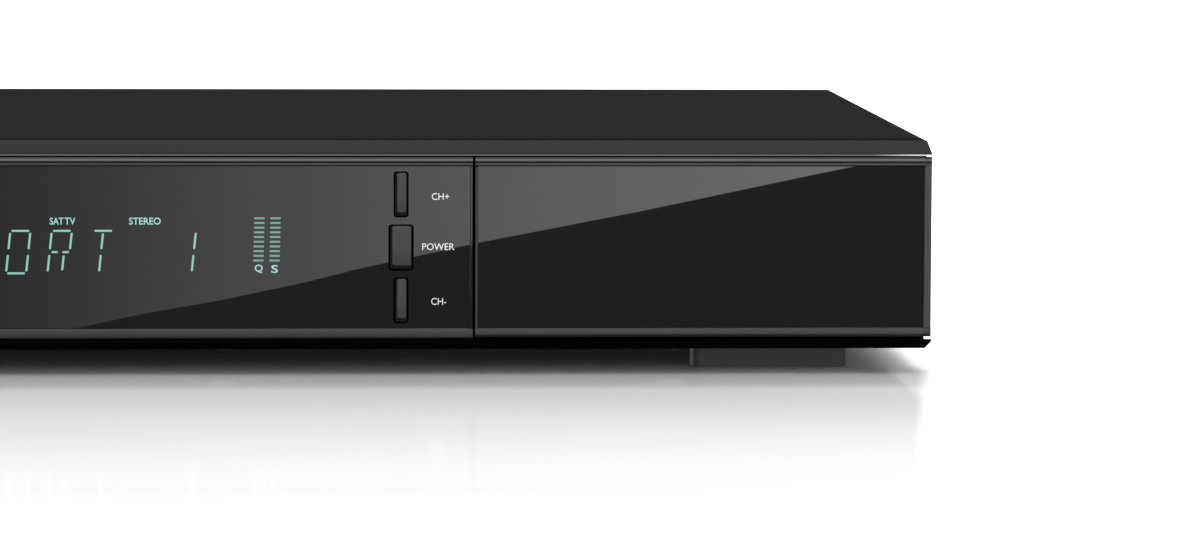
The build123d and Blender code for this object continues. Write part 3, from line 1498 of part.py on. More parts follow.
with BuildPart() as mains_switch:
    with Locations((switch_x, rear_outer, switch_z)):
        Box(
            switch_hole_width + 2 * switch_rim,
            switch_flange,
            switch_hole_height + 2 * switch_rim,
            align=MIDDLE_BACK,
        )
    with Locations((switch_x, rear_outer - switch_body_depth / 2, switch_z)):
        Box(switch_hole_width - fit_gap, switch_body_depth, switch_hole_height - fit_gap)
    with Locations((switch_x, rear_outer + switch_flange, switch_z)):
        Box(
            rocker_width + 2 * rocker_side_gap,
            switch_well,
            rocker_length + 2 * rocker_end_gap,
            align=(Align.CENTER, Align.MAX, Align.CENTER),
            mode=Mode.SUBTRACT,
        )
    with Locations((switch_x, rocker_axis_y, switch_z)):
        Cylinder(
            trunnion_radius + run_gap,
            rocker_width + 4 * rocker_side_gap,
            rotation=(0, 90, 0),
            mode=Mode.SUBTRACT,
        )
mains_switch.part.label = "mains_switch"
export_step(mains_switch.part, "parts/mains_switch.step")

# The rocker's own plane leans by its tilt, with its pivot as the origin
rocker_plane = Plane(
    origin=(switch_x - rocker_width / 2, rocker_axis_y, switch_z),
    x_dir=(0, cos(radians(rocker_tilt)), sin(radians(rocker_tilt))),
    z_dir=(1, 0, 0),
)
rocker_face = 3.4            # crests of the rocker past its pivot
rocker_dip = 2.7
rocker_shoulder = 0.5
rocker_heel = 3.0            # its narrow end inside the switch
rocker_heel_half = 1.2
shoulder_half = rocker_length / 2 - 0.4
crest_half = rocker_length / 2 - 0.7

with BuildPart() as mains_rocker:
    with BuildSketch(rocker_plane):
        with BuildLine():
            Polyline(
                (rocker_shoulder, -shoulder_half),
                (rocker_face, -crest_half),
                (rocker_dip, 0.0),
                (rocker_face, crest_half),
                (rocker_shoulder, shoulder_half),
                (-rocker_heel, rocker_heel_half),
                (-rocker_heel, -rocker_heel_half),
                close=True,
            )
        make_face()
    extrude(amount=rocker_width)
    with Locations((switch_x, rocker_axis_y, switch_z)):
        Cylinder(trunnion_radius, rocker_width + 3 * rocker_side_gap, rotation=(0, 90, 0))
mains_rocker.part.label = "mains_rocker"
export_step(mains_rocker.part, "parts/mains_rocker.step")

# ---------------------------------------------------------------- power board
with BuildPart() as power_board:
    with Locations((power_x, power_mid_y, board_bottom)):
        Box(power_board_width, power_back - power_front, board_thick, align=UPWARD)
    with BuildSketch(Plane.XY.offset(board_bottom)):
        with Locations(power_holes):
            Circle(clear_radius)
    extrude(amount=board_thick, mode=Mode.SUBTRACT)
power_board.part.label = "power_board"
export_step(power_board.part, "parts/power_board.step")

# From the mains inlet forward: fuse, filter, bulk capacitor, transformer, output capacitors
fuse_shift = 8.0
fuse_setback = 31.0
fuse_rise = 5.0
fuse_x = power_x - fuse_shift
fuse_y = main_back - fuse_setback
fuse_z = board_top + fuse_rise
fuse_radius = 2.5
fuse_length = 20.0
clip_width = 1.6
clip_depth = 6.0
clip_height = 4.0
clip_pitch = 14.4
filter_gap = 13.0
filter_y = fuse_y - filter_gap
filter_width = 18.0
filter_depth = 16.0
filter_foot = 4.0
filter_core_depth = 5.0
filter_core_height = 13.0
filter_coil_radius = 6.5
filter_coil_length = 14.0
bulk_shift = 4.0
bulk_gap = 30.0
bulk_x = power_x + bulk_shift
bulk_y = filter_y - bulk_gap
bulk_radius = 9.0
bulk_height = 27.0
transformer_shift = 3.0
transformer_gap = 30.0
transformer_x = power_x + transformer_shift
transformer_y = bulk_y - transformer_gap
transformer_width = 25.0
transformer_depth = 22.0
transformer_foot = 3.0
core_depth = 8.0
core_height = 19.0
coil_width = 17.0
coil_depth = 20.0
coil_height = 15.5
output_shift = 4.0
output_gap = 27.0
output_x = power_x - output_shift
output_y = transformer_y - output_gap
output_radius = 5.0
output_height = 20.0
output_pitch = 12.0

with BuildPart() as fuse:
    with Locations((fuse_x, fuse_y, fuse_z)):
        Cylinder(fuse_radius, fuse_length, rotation=(0, 90, 0))
    with Locations((fuse_x, fuse_y, board_top)):
        with GridLocations(clip_pitch, 1, 2, 1):
            Box(clip_width, clip_depth, clip_height, align=UPWARD)
fuse.part.label = "fuse"
export_step(fuse.part, "parts/fuse.step")

with BuildPart() as mains_filter:
    with Locations((power_x, filter_y, board_top)):
        Box(filter_width, filter_depth, filter_foot, align=UPWARD)
    with Locations((power_x, filter_y, board_top + filter_foot)):
        Box(filter_width, filter_core_depth, filter_core_height, align=UPWARD)
    with Locations((power_x, filter_y, board_top + filter_foot + filter_core_height / 2)):
        Cylinder(filter_coil_radius, filter_coil_length, rotation=(0, 90, 0))
mains_filter.part.label = "mains_filter"
export_step(mains_filter.part, "parts/mains_filter.step")

with BuildPart() as power_transformer:
    with Locations((transformer_x, transformer_y, board_top)):
        Box(transformer_width, transformer_depth, transformer_foot, align=UPWARD)
    with Locations((transformer_x, transformer_y, board_top + transformer_foot)):
        Box(transformer_width, core_depth, core_height, align=UPWARD)
        Box(coil_width, coil_depth, coil_height, align=UPWARD)
power_transformer.part.label = "power_transformer"
export_step(power_transformer.part, "parts/power_transformer.step")

# Small capacitors of the main board stand in two groups
capacitor_radius = 3.15
capacitor_height = 11.5
left_inset = 17.0
left_shift = 8.0
rear_shift = 8.0
rear_setback = 38.0
left_pitch_x = 9.0
left_pitch_y = 10.0
rear_pitch = 10.0

with BuildPart() as capacitors:
    with Locations((bulk_x, bulk_y, board_top)):
        Cylinder(bulk_radius, bulk_height, align=UPWARD)
    with Locations((output_x, output_y, board_top)):
        with GridLocations(output_pitch, 1, 3, 1):
            Cylinder(output_radius, output_height, align=UPWARD)
    with Locations((main_left + left_inset, processor_y + left_shift, board_top)):
        with GridLocations(left_pitch_x, left_pitch_y, 2, 3):
            Cylinder(capacitor_radius, capacitor_height, align=UPWARD)
    with Locations((hdmi_x - rear_shift, main_back - rear_setback, board_top)):
        with GridLocations(rear_pitch, 1, 3, 1):
            Cylinder(capacitor_radius, capacitor_height, align=UPWARD)
capacitors.part.label = "capacitors"
export_step(capacitors.part, "parts/capacitors.step")

plate_inset = 5.0
plate_sheet = 1.6
plate_length = 46.0
plate_height = 24.0
plate_x_middle = power_left + plate_inset
plate_y_middle = (bulk_y + transformer_y) / 2
power_fin_reach = 4.0
power_fin_sink = 0.4         # root of a fin in the plate
power_fin_thick = 1.2
power_fin_height = 6.0
power_fin_pitch = 8.0
power_fin_x = plate_x_middle - plate_sheet / 2 + power_fin_sink - power_fin_reach / 2
power_fin_drop = 1.0         # top of the plate to the fins
power_fin_z = board_top + plate_height - power_fin_drop - power_fin_height / 2

with BuildPart() as power_heatsink:
    with Locations((plate_x_middle, plate_y_middle, board_top)):
        Box(plate_sheet, plate_length, plate_height, align=UPWARD)
    with Locations((power_fin_x, plate_y_middle, power_fin_z)):
        with GridLocations(1, power_fin_pitch, 1, 6):
            Box(power_fin_reach, power_fin_thick, power_fin_height)
power_heatsink.part.label = "power_heatsink"
export_step(power_heatsink.part, "parts/power_heatsink.step")

# Leads from the power board to the main board
harness_setback = 29.0
harness_y = power_front + harness_setback
lead_radius = 0.8
lead_pitch = 2.5
plug_width = 5.0
plug_height = 8.0
plug_length = 10.0
lead_rise = 7.0
lead_count = 4
lead_sink = 1.0              # leads inside the plugs
lead_low = board_top + plug_height - lead_sink
lead_high = board_top + plug_height + lead_rise
plug_edge = 0.5              # edge of the board to the plug
harness_left = power_right - plug_width / 2 - plug_edge
harness_right = main_left + plug_width / 2 + plug_edge

with BuildPart() as power_harness:
    with Locations((harness_left, harness_y, board_top), (harness_right, harness_y, board_top)):
        Box(plug_width, plug_length, plug_height, align=UPWARD)
    for lead in range(lead_count):
        lead_y = harness_y + (lead - (lead_count - 1) / 2) * lead_pitch
        with BuildLine() as lead_route:
            FilletPolyline(
                (harness_left, lead_y, lead_low),
                (harness_left, lead_y, lead_high),
                (harness_right, lead_y, lead_high),
                (harness_right, lead_y, lead_low),
                radius=0.45 * lead_rise,
            )
        with BuildSketch(Plane(origin=lead_route.line @ 0, z_dir=lead_route.line % 0)):
            Circle(lead_radius)
        sweep(path=lead_route.line)
power_harness.part.label = "power_harness"
export_step(power_harness.part, "parts/power_harness.step")
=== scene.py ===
import bpy, bmesh
from math import cos, pi, radians, sin
from mathutils import Matrix, Vector


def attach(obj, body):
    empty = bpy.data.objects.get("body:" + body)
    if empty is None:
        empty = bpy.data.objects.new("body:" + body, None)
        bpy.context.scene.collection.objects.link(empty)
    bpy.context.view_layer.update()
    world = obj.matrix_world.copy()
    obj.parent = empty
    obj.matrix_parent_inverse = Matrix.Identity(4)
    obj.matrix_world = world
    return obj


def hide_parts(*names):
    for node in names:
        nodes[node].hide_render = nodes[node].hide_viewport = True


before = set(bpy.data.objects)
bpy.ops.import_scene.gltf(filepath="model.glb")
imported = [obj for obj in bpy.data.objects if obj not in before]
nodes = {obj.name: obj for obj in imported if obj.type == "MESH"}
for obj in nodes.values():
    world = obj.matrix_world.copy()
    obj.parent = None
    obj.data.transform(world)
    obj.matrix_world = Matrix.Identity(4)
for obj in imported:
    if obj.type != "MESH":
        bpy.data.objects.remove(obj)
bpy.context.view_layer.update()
MM = 0.001

# ---------- camera
# A long lens from the front, a little above the case, that looks down and to the right.
# It stands before the middle of the case, so the left end lies outside its view.
def put(name, data):
    """Adds an object at the origin to the scene."""
    thing = bpy.data.objects.new(name, data)
    bpy.context.scene.collection.objects.link(thing)
    return thing


lens = bpy.data.cameras.new("camera")
lens.lens = 171.3
lens.sensor_width = 36.0
lens.clip_start = 0.05
camera = put("camera", lens)
stand = (0.001046, -1.210937, 0.116687)
look_right, look_down, roll = 3.776, 4.994, 0.267
camera.matrix_world = (
    Matrix.Translation(stand)
    @ Matrix.Rotation(radians(-look_right), 4, "Z")
    @ Matrix.Rotation(radians(90 - look_down), 4, "X")
    @ Matrix.Rotation(radians(roll), 4, "Z")
)
bpy.context.scene.camera = camera
bpy.context.scene.view_settings.view_transform = "Standard"


# ---------- top cover
# One folded sheet of steel with slots in its sides, sprayed with black powder coat.
# The coat has the fine orange peel of baked powder. Along the cut front edge it is mixed with painted
# shade, darkest at the edge.
class Wire:
    """An output of a node. Sums and products of wires and numbers add Math nodes. The range of
    between, near and stretched is given in millimetres."""

    def __init__(self, bench, socket):
        self.bench = bench
        self.socket = socket

    def math(self, operation, *others):
        places = {i: value for i, value in enumerate((self, *others))}
        return self.bench.node("ShaderNodeMath", {"operation": operation}, places)

    def __add__(self, other):
        return self.math("ADD", other)

    def __sub__(self, other):
        return self.math("SUBTRACT", other)

    def __rsub__(self, other):
        return (self * -1.0).math("ADD", other)

    def __mul__(self, other):
        return self.math("MULTIPLY", other)

    def __gt__(self, other):
        return self.math("GREATER_THAN", other)

    def __lt__(self, other):
        return self.math("LESS_THAN", other)

    __radd__ = __add__
    __rmul__ = __mul__

    def between(self, low, high):
        return (self > low * MM) * (self < high * MM)

    def near(self, middle, reach):
        return (self - middle * MM).math("ABSOLUTE") < reach * MM

    def stretched(self, low, high, to_low=0.0, to_high=1.0):
        places = {"Value": self, "From Min": low * MM, "From Max": high * MM}
        places |= {"To Min": to_low, "To Max": to_high}
        return self.bench.node("ShaderNodeMapRange", {"interpolation_type": "SMOOTHSTEP"}, places)


class Finish:
    """A surface finish on its own material, put together node by node."""

    def __init__(self, name):
        self.material = bpy.data.materials.new(name)
        self.material.use_nodes = True
        self.tree = self.material.node_tree
        self.tree.nodes.clear()
        self.place = self.node("ShaderNodeTexCoord", {}, {}, "Object")

    def node(self, kind, settings, places, output=0):
        """A node of that kind. Its settings are set first, then the values or wires of its places."""
        made = self.tree.nodes.new(kind)
        for name, value in settings.items():
            setattr(made, name, value)
        for name, value in places.items():
            socket = made.inputs[name]
            if isinstance(value, Wire):
                self.tree.links.new(value.socket, socket)
            elif isinstance(value, tuple):
                socket.default_value = (*value, 1.0)[:len(socket.default_value)]
            else:
                socket.default_value = value
        return Wire(self, made.outputs[output]) if made.outputs else None

    def axis(self, letter):
        return self.node("ShaderNodeSeparateXYZ", {}, {"Vector": self.place}, letter)

    def speckle(self, per_metre, detail=2.0, stretch=(1.0, 1.0, 1.0)):
        drawn = self.node("ShaderNodeMapping", {}, {"Vector": self.place, "Scale": stretch})
        places = {"Vector": drawn, "Scale": per_metre, "Detail": detail}
        return self.node("ShaderNodeTexNoise", {}, places, "Fac")

    def blend(self, share, first, second):
        colours = {"Factor": share, 6: first, 7: second}
        return self.node("ShaderNodeMix", {"data_type": "RGBA"}, colours, 2)

    def shader(self, places, relief=None, depth=0.0):
        if relief is not None:
            lift = {"Height": relief, "Distance": depth * MM, "Strength": 1.0}
            places = {**places, "Normal": self.node("ShaderNodeBump", {}, lift)}
        return self.node("ShaderNodeBsdfPrincipled", {}, places)

    def patterned(self, pattern, colours, rough, rougher, relief=0.0, gloss=0.5, **look):
        """A shader whose colour, roughness and relief all follow one pattern."""
        colour = self.blend(pattern, *colours) if len(colours) == 2 else colours[0]
        look |= {"Base Color": colour, "Roughness": rough + rougher * pattern}
        return self.shader({**look, "Specular IOR Level": gloss}, pattern if relief else None, relief)

    def plain(self, colour, rough, gloss):
        """A shader that is the same all over."""
        return self.shader({"Base Color": colour, "Roughness": rough, "Specular IOR Level": gloss})

    def mixed(self, share, first, second):
        return self.node("ShaderNodeMixShader", {}, {0: share, 1: first, 2: second})

    def finished(self, surface):
        self.node("ShaderNodeOutputMaterial", {}, {"Surface": surface})
        return self.material

    def done(self, places, relief=None, depth=0.0):
        return self.finished(self.shader(places, relief, depth))


def dress(material, *names):
    """Gives the nodes of those names the material."""
    for name in names:
        for place in nodes[name].material_slots:
            place.material = material
        if not nodes[name].material_slots:
            nodes[name].data.materials.append(material)


powder = Finish("powder_coat")
peel = powder.speckle(1500.0, 3.0)
cloud = powder.speckle(14.0, 3.0)
coat_colour = powder.blend(cloud, (0.0107, 0.0107, 0.0112), (0.0125, 0.0125, 0.0131))
coat = powder.patterned(peel, [coat_colour], 0.56, 0.1, 0.025, 0.03)
# Painted shade: a flat dark grey without gloss, mixed into the coat towards the cut front edge
shade_coat = powder.plain((0.0045, 0.0045, 0.0047), 0.9, 0.0)
shade_from, shade_to, cut_face = -94.8, -80.0, -92.4
painted_edge_shade = powder.axis("Y").stretched(shade_from, shade_to, 0.4, 0.0)
painted_cut_shade = (powder.axis("Y") < cut_face * MM) * 0.5
powder_coat = powder.finished(powder.mixed(painted_edge_shade + painted_cut_shade, coat, shade_coat))
fold_x, fold_z, fold_radius = 138.1 * MM, 45.0 * MM, 1.0 * MM
fold_tight = 0.8                # 0 leaves the fold round, 1 makes it square
same_spot = 1e-7


def made_mesh(name, shape, material, smooth=35.0):
    """Turns the shape into an object at the origin, with its faces outwards."""
    bmesh.ops.remove_doubles(shape, verts=shape.verts, dist=same_spot)
    bmesh.ops.recalc_face_normals(shape, faces=shape.faces)
    mesh = bpy.data.meshes.new(name)
    shape.to_mesh(mesh)
    shape.free()
    mesh.materials.append(material)
    mesh.polygons.foreach_set("use_smooth", [True] * len(mesh.polygons))
    mesh.set_sharp_from_angle(angle=radians(smooth))
    return put(name, mesh)


def fitted(piece, slot, *replaced, body="case"):
    """Lets the piece ride on its body and hides the nodes that it stands for. The slot is not used."""
    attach(piece, body)
    if replaced:
        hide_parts(*replaced)
    return piece


# A copy of the sheet whose two long folds are drawn out towards a sharper corner
shape = bmesh.new()
shape.from_mesh(nodes["top_cover"].data)
bmesh.ops.remove_doubles(shape, verts=shape.verts, dist=same_spot)
hair = 0.001 * MM
for v in shape.verts:
    out, up = abs(v.co.x) - fold_x, v.co.z - fold_z
    reach = (out * out + up * up) ** 0.5
    if out > -hair and up > -hair and reach > 0.9 * fold_radius:
        drawn = fold_tight * (reach / max(out, up) - 1)
        v.co.x += (1 if v.co.x > 0 else -1) * out * drawn
        v.co.z += up * drawn
fitted(made_mesh("folded_cover", shape, powder_coat), "cover_steel", "top_cover")

# ---------- cover screws
# Black pan-head screws with a cross recess hold the cover at its sides and its rear lip.
# Each head is turned from one blank, so one head is placed wherever a screw goes.
def grained(name, grains, colours, rough, rougher, relief=0.0, detail=2.0, stretch=(1, 1, 1), **look):
    """A finish with a fine grain, which its colour, its roughness and its relief follow."""
    skin = Finish(name)
    grain = skin.speckle(grains, detail, stretch)
    return skin.finished(skin.patterned(grain, colours, rough, rougher, relief, **look))


black_tone = [(0.05, 0.05, 0.052)]
blackened_steel = grained("blackened_screw", 3000.0, black_tone, 0.32, 0.16, 0.008, 1.0, Metallic=0.85)
head_radius = 2.8
head_height = 0.8
shank_radius = 1.45
shank_end = -4.5
recess_reach = 1.45
recess_half = 0.3


def joined(shape, first, second):
    """Joins two rings of points with a band of faces."""
    for i, corner in enumerate(first):
        after = (i + 1) % len(first)
        shape.faces.new((corner, first[after], second[after], second[i]))


def rectangle(left, right, low, high):
    """The corners of a rectangle, from its lower left one."""
    return [(left, low), (right, low), (right, high), (left, high)]


def oval(half_width, half_height, steps, up=0.0):
    """Even steps round an oval whose middle is up above zero."""
    turns = [2 * pi * step / steps for step in range(steps)]
    return [(half_width * cos(t), half_height * sin(t) + up) for t in turns]


def ring_of(shape, points):
    """A ring of corners from points in millimetres."""
    return [shape.verts.new([part * MM for part in point]) for point in points]


def add_prism(shape, corners, low, high, along):
    """A straight prism. Corners are pairs in the plane across the axis that it runs along."""
    order = {"x": (2, 0, 1), "y": (0, 2, 1), "z": (0, 1, 2)}[along]
    ends = [[(*corner, level) for corner in corners] for level in (low, high)]
    rings = [ring_of(shape, [[point[i] for i in order] for point in end]) for end in ends]
    joined(shape, *rings)
    shape.faces.new(list(reversed(rings[0])))
    shape.faces.new(rings[1])


def add_turned(shape, outline, steps=32, closed=False):
    """A solid of revolution about Z. The outline, as radius and height, runs from pole to pole
    or, when closed, round the section of a ring."""
    rings = []
    for radius, height in outline:
        points = [(x, y, height) for x, y in oval(radius, radius, steps)]
        rings.append(ring_of(shape, points if radius else [(0.0, 0.0, height)]))
    for low, high in zip(rings, rings[1:] + rings[:1] * closed):
        for i in range(steps):
            after = (i + 1) % steps
            corners = [low[i % len(low)], low[after % len(low)]]
            corners += [high[after % len(high)], high[i % len(high)]]
            corners = list(dict.fromkeys(corners))
            if len(corners) > 2:
                shape.faces.new(corners)


def evaluated_mesh(piece):
    """A mesh of the piece with its modifiers carried out."""
    graph = bpy.context.evaluated_depsgraph_get()
    return bpy.data.meshes.new_from_object(piece.evaluated_get(graph))


def plain_mesh(piece):
    """Bakes the modifiers of a piece into its mesh."""
    result = evaluated_mesh(piece)
    piece.modifiers.clear()
    piece.data = result


# A tree that puts a copy of one object on each point, with its Z along the point's facing
placing = bpy.data.node_groups.new("place_on_points", "GeometryNodeTree")
for socket, kind in (("Geometry", "Geometry"), ("Blank", "Object"), ("Finish", "Material")):
    placing.interface.new_socket(socket, in_out="INPUT", socket_type="NodeSocket" + kind)
placing.interface.new_socket("Geometry", in_out="OUTPUT", socket_type="NodeSocketGeometry")
make = placing.nodes.new
given, result = make("NodeGroupInput"), make("NodeGroupOutput")
facing, model = make("GeometryNodeInputNamedAttribute"), make("GeometryNodeObjectInfo")
facing.data_type = "FLOAT_VECTOR"
facing.inputs["Name"].default_value = "facing"
turn, copies = make("FunctionNodeAlignRotationToVector"), make("GeometryNodeInstanceOnPoints")
turn.axis = "Z"
real, paint = make("GeometryNodeRealizeInstances"), make("GeometryNodeSetMaterial")
for start, end in (
    (given.outputs["Geometry"], copies.inputs["Points"]),
    (given.outputs["Blank"], model.inputs["Object"]),
    (model.outputs["Geometry"], copies.inputs["Instance"]),
    (facing.outputs["Attribute"], turn.inputs["Vector"]),
    (turn.outputs["Rotation"], copies.inputs["Rotation"]),
    (copies.outputs["Instances"], real.inputs["Geometry"]),
    (real.outputs["Geometry"], paint.inputs["Geometry"]),
    (given.outputs["Finish"], paint.inputs["Material"]),
    (paint.outputs["Geometry"], result.inputs["Geometry"]),
):
    placing.links.new(start, end)


def placed_copies(name, blank, places, material):
    """One mesh of copies of the blank at each place, given as point and facing."""
    mesh = bpy.data.meshes.new(name)
    mesh.from_pydata([point for point, facing in places], [], [])
    facings = mesh.attributes.new("facing", "FLOAT_VECTOR", "POINT")
    facings.data.foreach_set("vector", [part for point, facing in places for part in facing])
    piece = put(name, mesh)
    layout = piece.modifiers.new("copies", "NODES")
    layout.node_group = placing
    given = [item for item in placing.interface.items_tree if item.in_out == "INPUT"]
    sockets = {item.name: item.identifier for item in given}
    layout[sockets["Blank"]] = blank
    layout[sockets["Finish"]] = material
    plain_mesh(piece)
    bpy.data.objects.remove(blank)
    return piece


side_face, side_y, side_z = 139.1 * MM, 59.7 * MM, 10.0 * MM
lip_face, lip_x, lip_z = 88.5 * MM, 110 * MM, 41.6 * MM
places = [((s * side_face, t * side_y, side_z), (s, 0, 0)) for s in (-1, 1) for t in (-1, 1)]
places += [((s * lip_x, lip_face, lip_z), (0, 1, 0)) for s in (-1, 0, 1)]
# The blank: a pan head with its shank below Z = 0, and a cutter for the two slots of its cross
recess_floor = head_height * 0.45
shape = bmesh.new()
add_turned(shape, [
    (0.0, recess_floor), (recess_half * 1.2, recess_floor), (recess_half * 1.3, head_height * 0.98),
    (head_radius * 0.62, head_height), (head_radius * 0.9, head_height * 0.8),
    (head_radius, head_height * 0.35), (head_radius, 0.0), (shank_radius, 0.0),
    (shank_radius, shank_end + 0.5), (0.9, shank_end), (0.0, shank_end),
])
blank = made_mesh("screw_blank", shape, blackened_steel)
cutter = bmesh.new()
for reach, half in ((recess_reach, recess_half), (recess_half, recess_reach)):
    slot = rectangle(-reach, reach, -half, half)
    add_prism(cutter, slot, head_height * 0.3, head_height * 2, "z")
cross = made_mesh("cross", cutter, blackened_steel)
recess = blank.modifiers.new("recess", "BOOLEAN")
recess.operation = "DIFFERENCE"
recess.solver = "EXACT"
recess.use_self = True
recess.object = cross
plain_mesh(blank)
bpy.data.objects.remove(cross)
heads = placed_copies("cover_screw_heads", blank, places, blackened_steel)
fitted(heads, "screw_steel", "cover_screws")
dress(blackened_steel, "base_screws")

# ---------- front bezel
# Injection-moulded ABS in dark grey with a fine spark-eroded grain. The sloping top cap,
# the bottom cap and the bay behind the door are one moulding with it.
front_y = -97.5
bezel = Finish("satin_abs")
grain = bezel.speckle(2600.0)
shade = bezel.speckle(30.0)
height = bezel.axis("Z")
# Painted highlight: a strip along the lower front edge of the top cap is lighter, growing bright towards
# the right end
cap_low, cap_glint_high = 42.9, 43.36
painted_glint = (bezel.axis("Y") < (front_y + 0.05) * MM) * height.between(cap_low, cap_glint_high)
glint_strength = bezel.axis("X").stretched(126.9, 138.9)
glint_colour = bezel.blend(glint_strength, (0.09, 0.09, 0.092), (0.52, 0.52, 0.53))
satin_colour = bezel.blend(shade, (0.0122, 0.0124, 0.0127), (0.0143, 0.0145, 0.0148))
satin_colour = bezel.blend(painted_glint, satin_colour, glint_colour)
satin = bezel.patterned(grain, [satin_colour], 0.42, 0.1, 0.01, 0.25)
# Painted shade: the bezel below the door and the strip behind the slit between panel and door are a flat
# black without gloss
painted_shade_black = bezel.plain((0.001, 0.001, 0.001), 0.9, 0.02)
behind_slit = bezel.axis("X").between(49.2, 50.4) * height.between(7.2, cap_low)
painted_shade_share = ((height < 6.95 * MM) + behind_slit).math("MINIMUM", 1.0)
satin_abs = bezel.finished(bezel.mixed(painted_shade_share, satin, painted_shade_black))
dress(satin_abs, "front_bezel", "bay_plate")

# ---------- trim frames
# The display panel and the door each have a moulded trim round their glossy inlay. The upper
# strip has a bevel, a groove and a second bevel along its length; the lower one is plain.
panel_back = -95.0
pocket_y = -96.1
door_low, door_high = 7.4, 42.8
inlay_low, inlay_high = 9.2, 41.1
end_upright = 138.35
trim = Finish("satin_trim")
trim_grain = trim.speckle(2600.0)
trim_height = trim.axis("Z")
# Painted highlight: a light line along the upper strip near its top edge
painted_bevel_highlight = trim_height.between(42.0, 42.49)
# Painted shade: the lower strip darkens towards its lower edge
low_shade = trim_height.stretched(7.3, 9.4, 0.35, 1.0)
trim_cloud = trim.speckle(25.0)
trim_colour = trim.blend(trim_cloud, (0.0465, 0.047, 0.048), (0.0535, 0.054, 0.055))
trim_colour = trim.blend(painted_bevel_highlight, trim_colour, (0.095, 0.096, 0.0975))
# Painted shade: the end uprights are made a quarter darker
upright_shade = (trim.axis("X") > end_upright * MM) * 0.25
trim_colour = trim.blend(upright_shade, trim_colour, (0.0, 0.0, 0.0))
trim_colour = trim.blend(low_shade, (0.004, 0.004, 0.004), trim_colour)
trim_face = trim.patterned(trim_grain, [trim_colour], 0.42, 0.1, 0.008, 0.25)
inside_ends = trim.axis("X").math("ABSOLUTE") < end_upright * MM
# Painted shade in the upper groove and along the bevel at the inlay's upper edge
painted_groove_shade = trim_height.between(41.6, 41.97)
painted_inlay_edge_shade = trim_height.between(40.85, 41.3) * inside_ends
trim_shadow = trim.plain((0.017, 0.017, 0.017), 0.8, 0.1)
trim_with_painted_shade = trim.mixed(painted_groove_shade + painted_inlay_edge_shade, trim_face, trim_shadow)
trim_lip = trim.axis("X").between(49.0, 49.7)
trim_lip = trim_lip * trim_height.between(inlay_low, inlay_high)
lip_gloss = trim.patterned(trim_grain, [(0.005, 0.005, 0.005)], 0.02, 0.02, IOR=1.49)
satin_trim = trim.finished(trim.mixed(trim_lip, trim_with_painted_shade, lip_gloss))
upper_strip = [
    (pocket_y, inlay_high), (front_y + 0.22, inlay_high), (front_y, inlay_high + 0.2),
    (front_y, 41.58), (front_y + 0.3, 41.88), (front_y + 0.3, 41.97), (front_y, 42.07),
    (front_y, 42.4), (front_y + 0.3, door_high), (panel_back, door_high),
    (panel_back, inlay_high - 0.6), (pocket_y, inlay_high - 0.6),
]
lower_strip = [
    (pocket_y, inlay_low), (front_y + 0.22, inlay_low), (front_y, inlay_low - 0.2),
    (front_y, door_low + 0.1), (front_y + 0.1, door_low), (panel_back - 0.2, door_low),
    (panel_back - 0.2, inlay_low + 0.6), (pocket_y, inlay_low + 0.6),
]


def upright(shape, x_low, x_high, bevel_low, bevel_high):
    """The end strip of a trim, between its two long strips. Bevels face the inlay and the end."""
    corners = [
        (x_low, panel_back - 0.2), (x_low, front_y + bevel_low), (x_low + bevel_low, front_y),
        (x_high - bevel_high, front_y), (x_high, front_y + bevel_high), (x_high, panel_back - 0.2),
    ]
    add_prism(shape, corners, inlay_low, inlay_high, "z")


def pocket_floor(shape, x_low, x_high, gaps):
    """The plate behind the inlay. Gaps are holes in it, as left, right, low and high."""
    edges = sorted({x_low, x_high, *[x for gap in gaps for x in gap[:2]]})
    for left, right in zip(edges, edges[1:]):
        across = sorted((gap[2], gap[3]) for gap in gaps if gap[0] <= left and gap[1] >= right)
        level = inlay_low
        for low, high in across + [(inlay_high, inlay_high)]:
            if low > level:
                add_prism(shape, rectangle(left, right, level, low), pocket_y, panel_back - 0.2, "y")
            level = high


key_x = 35.5
key_height = 8.5
key_gap = 0.28
keys = [(35.5, 2.4), (25.1, 4.4), (14.7, 2.4)]      # height of the middle and width
key_holes = []
for z, width in keys:
    half, tall = width / 2 + key_gap, key_height / 2 + key_gap
    key_holes.append((key_x - half, key_x + half, z - tall, z + tall))
window_hole = (-100.5, 17.5, 15.6, 34.6)
display_left, display_right = -139.9, 49.55
end_width, inner_width = 1.5, 0.45

shape = bmesh.new()
for strip in (upper_strip, lower_strip):
    add_prism(shape, strip, display_left, display_right, "x")
upright(shape, display_left, display_left + end_width, 0.25, 0.2)
upright(shape, display_right - inner_width, display_right, 0.1, 0.12)
floor_edges = (display_left + end_width, display_right - inner_width)
pocket_floor(shape, *floor_edges, [window_hole, *key_holes])
fitted(made_mesh("display_trim", shape, satin_trim, 20.0), "case_plastic", "display_frame")

# ---------- door trim
# The door hangs on two lugs at its lower edge, moulded with its trim. Its left edge has only
# a thin lip beside the slit, with a bevel that shows as a fine light line.
door_left, door_right = 50.05, 139.9
hinge_y, hinge_z = -94.6, 10.1
lug_radius = 1.5
pin_bore = 0.8
lugs = [(61.85, 1), (126.3, -1)]
knuckle_half = 2.0
knuckle_play = 0.3
lug_width = 3.0


def add_wall(shape, edges):
    """A closed wall from four edges: the outside low and high, then the inside low and high."""
    rings = [ring_of(shape, edge) for edge in edges]
    for first, second in ((0, 1), (2, 3), (0, 2), (1, 3)):
        joined(shape, rings[first], rings[second])


def ring_lug(shape, x_low, x_high):
    """A lug with its bore, joined to the trim by a web."""
    add_wall(shape, [
        [(x, hinge_y + out, hinge_z + up) for out, up in oval(radius, radius, 28)]
        for radius in (lug_radius, pin_bore) for x in (x_low, x_high)
    ])
    web_half, web_y = lug_radius * 0.9, hinge_y - 1.0
    web = rectangle(pocket_y, web_y, hinge_z - web_half, hinge_z + web_half)
    add_prism(shape, web, x_low, x_high, "x")


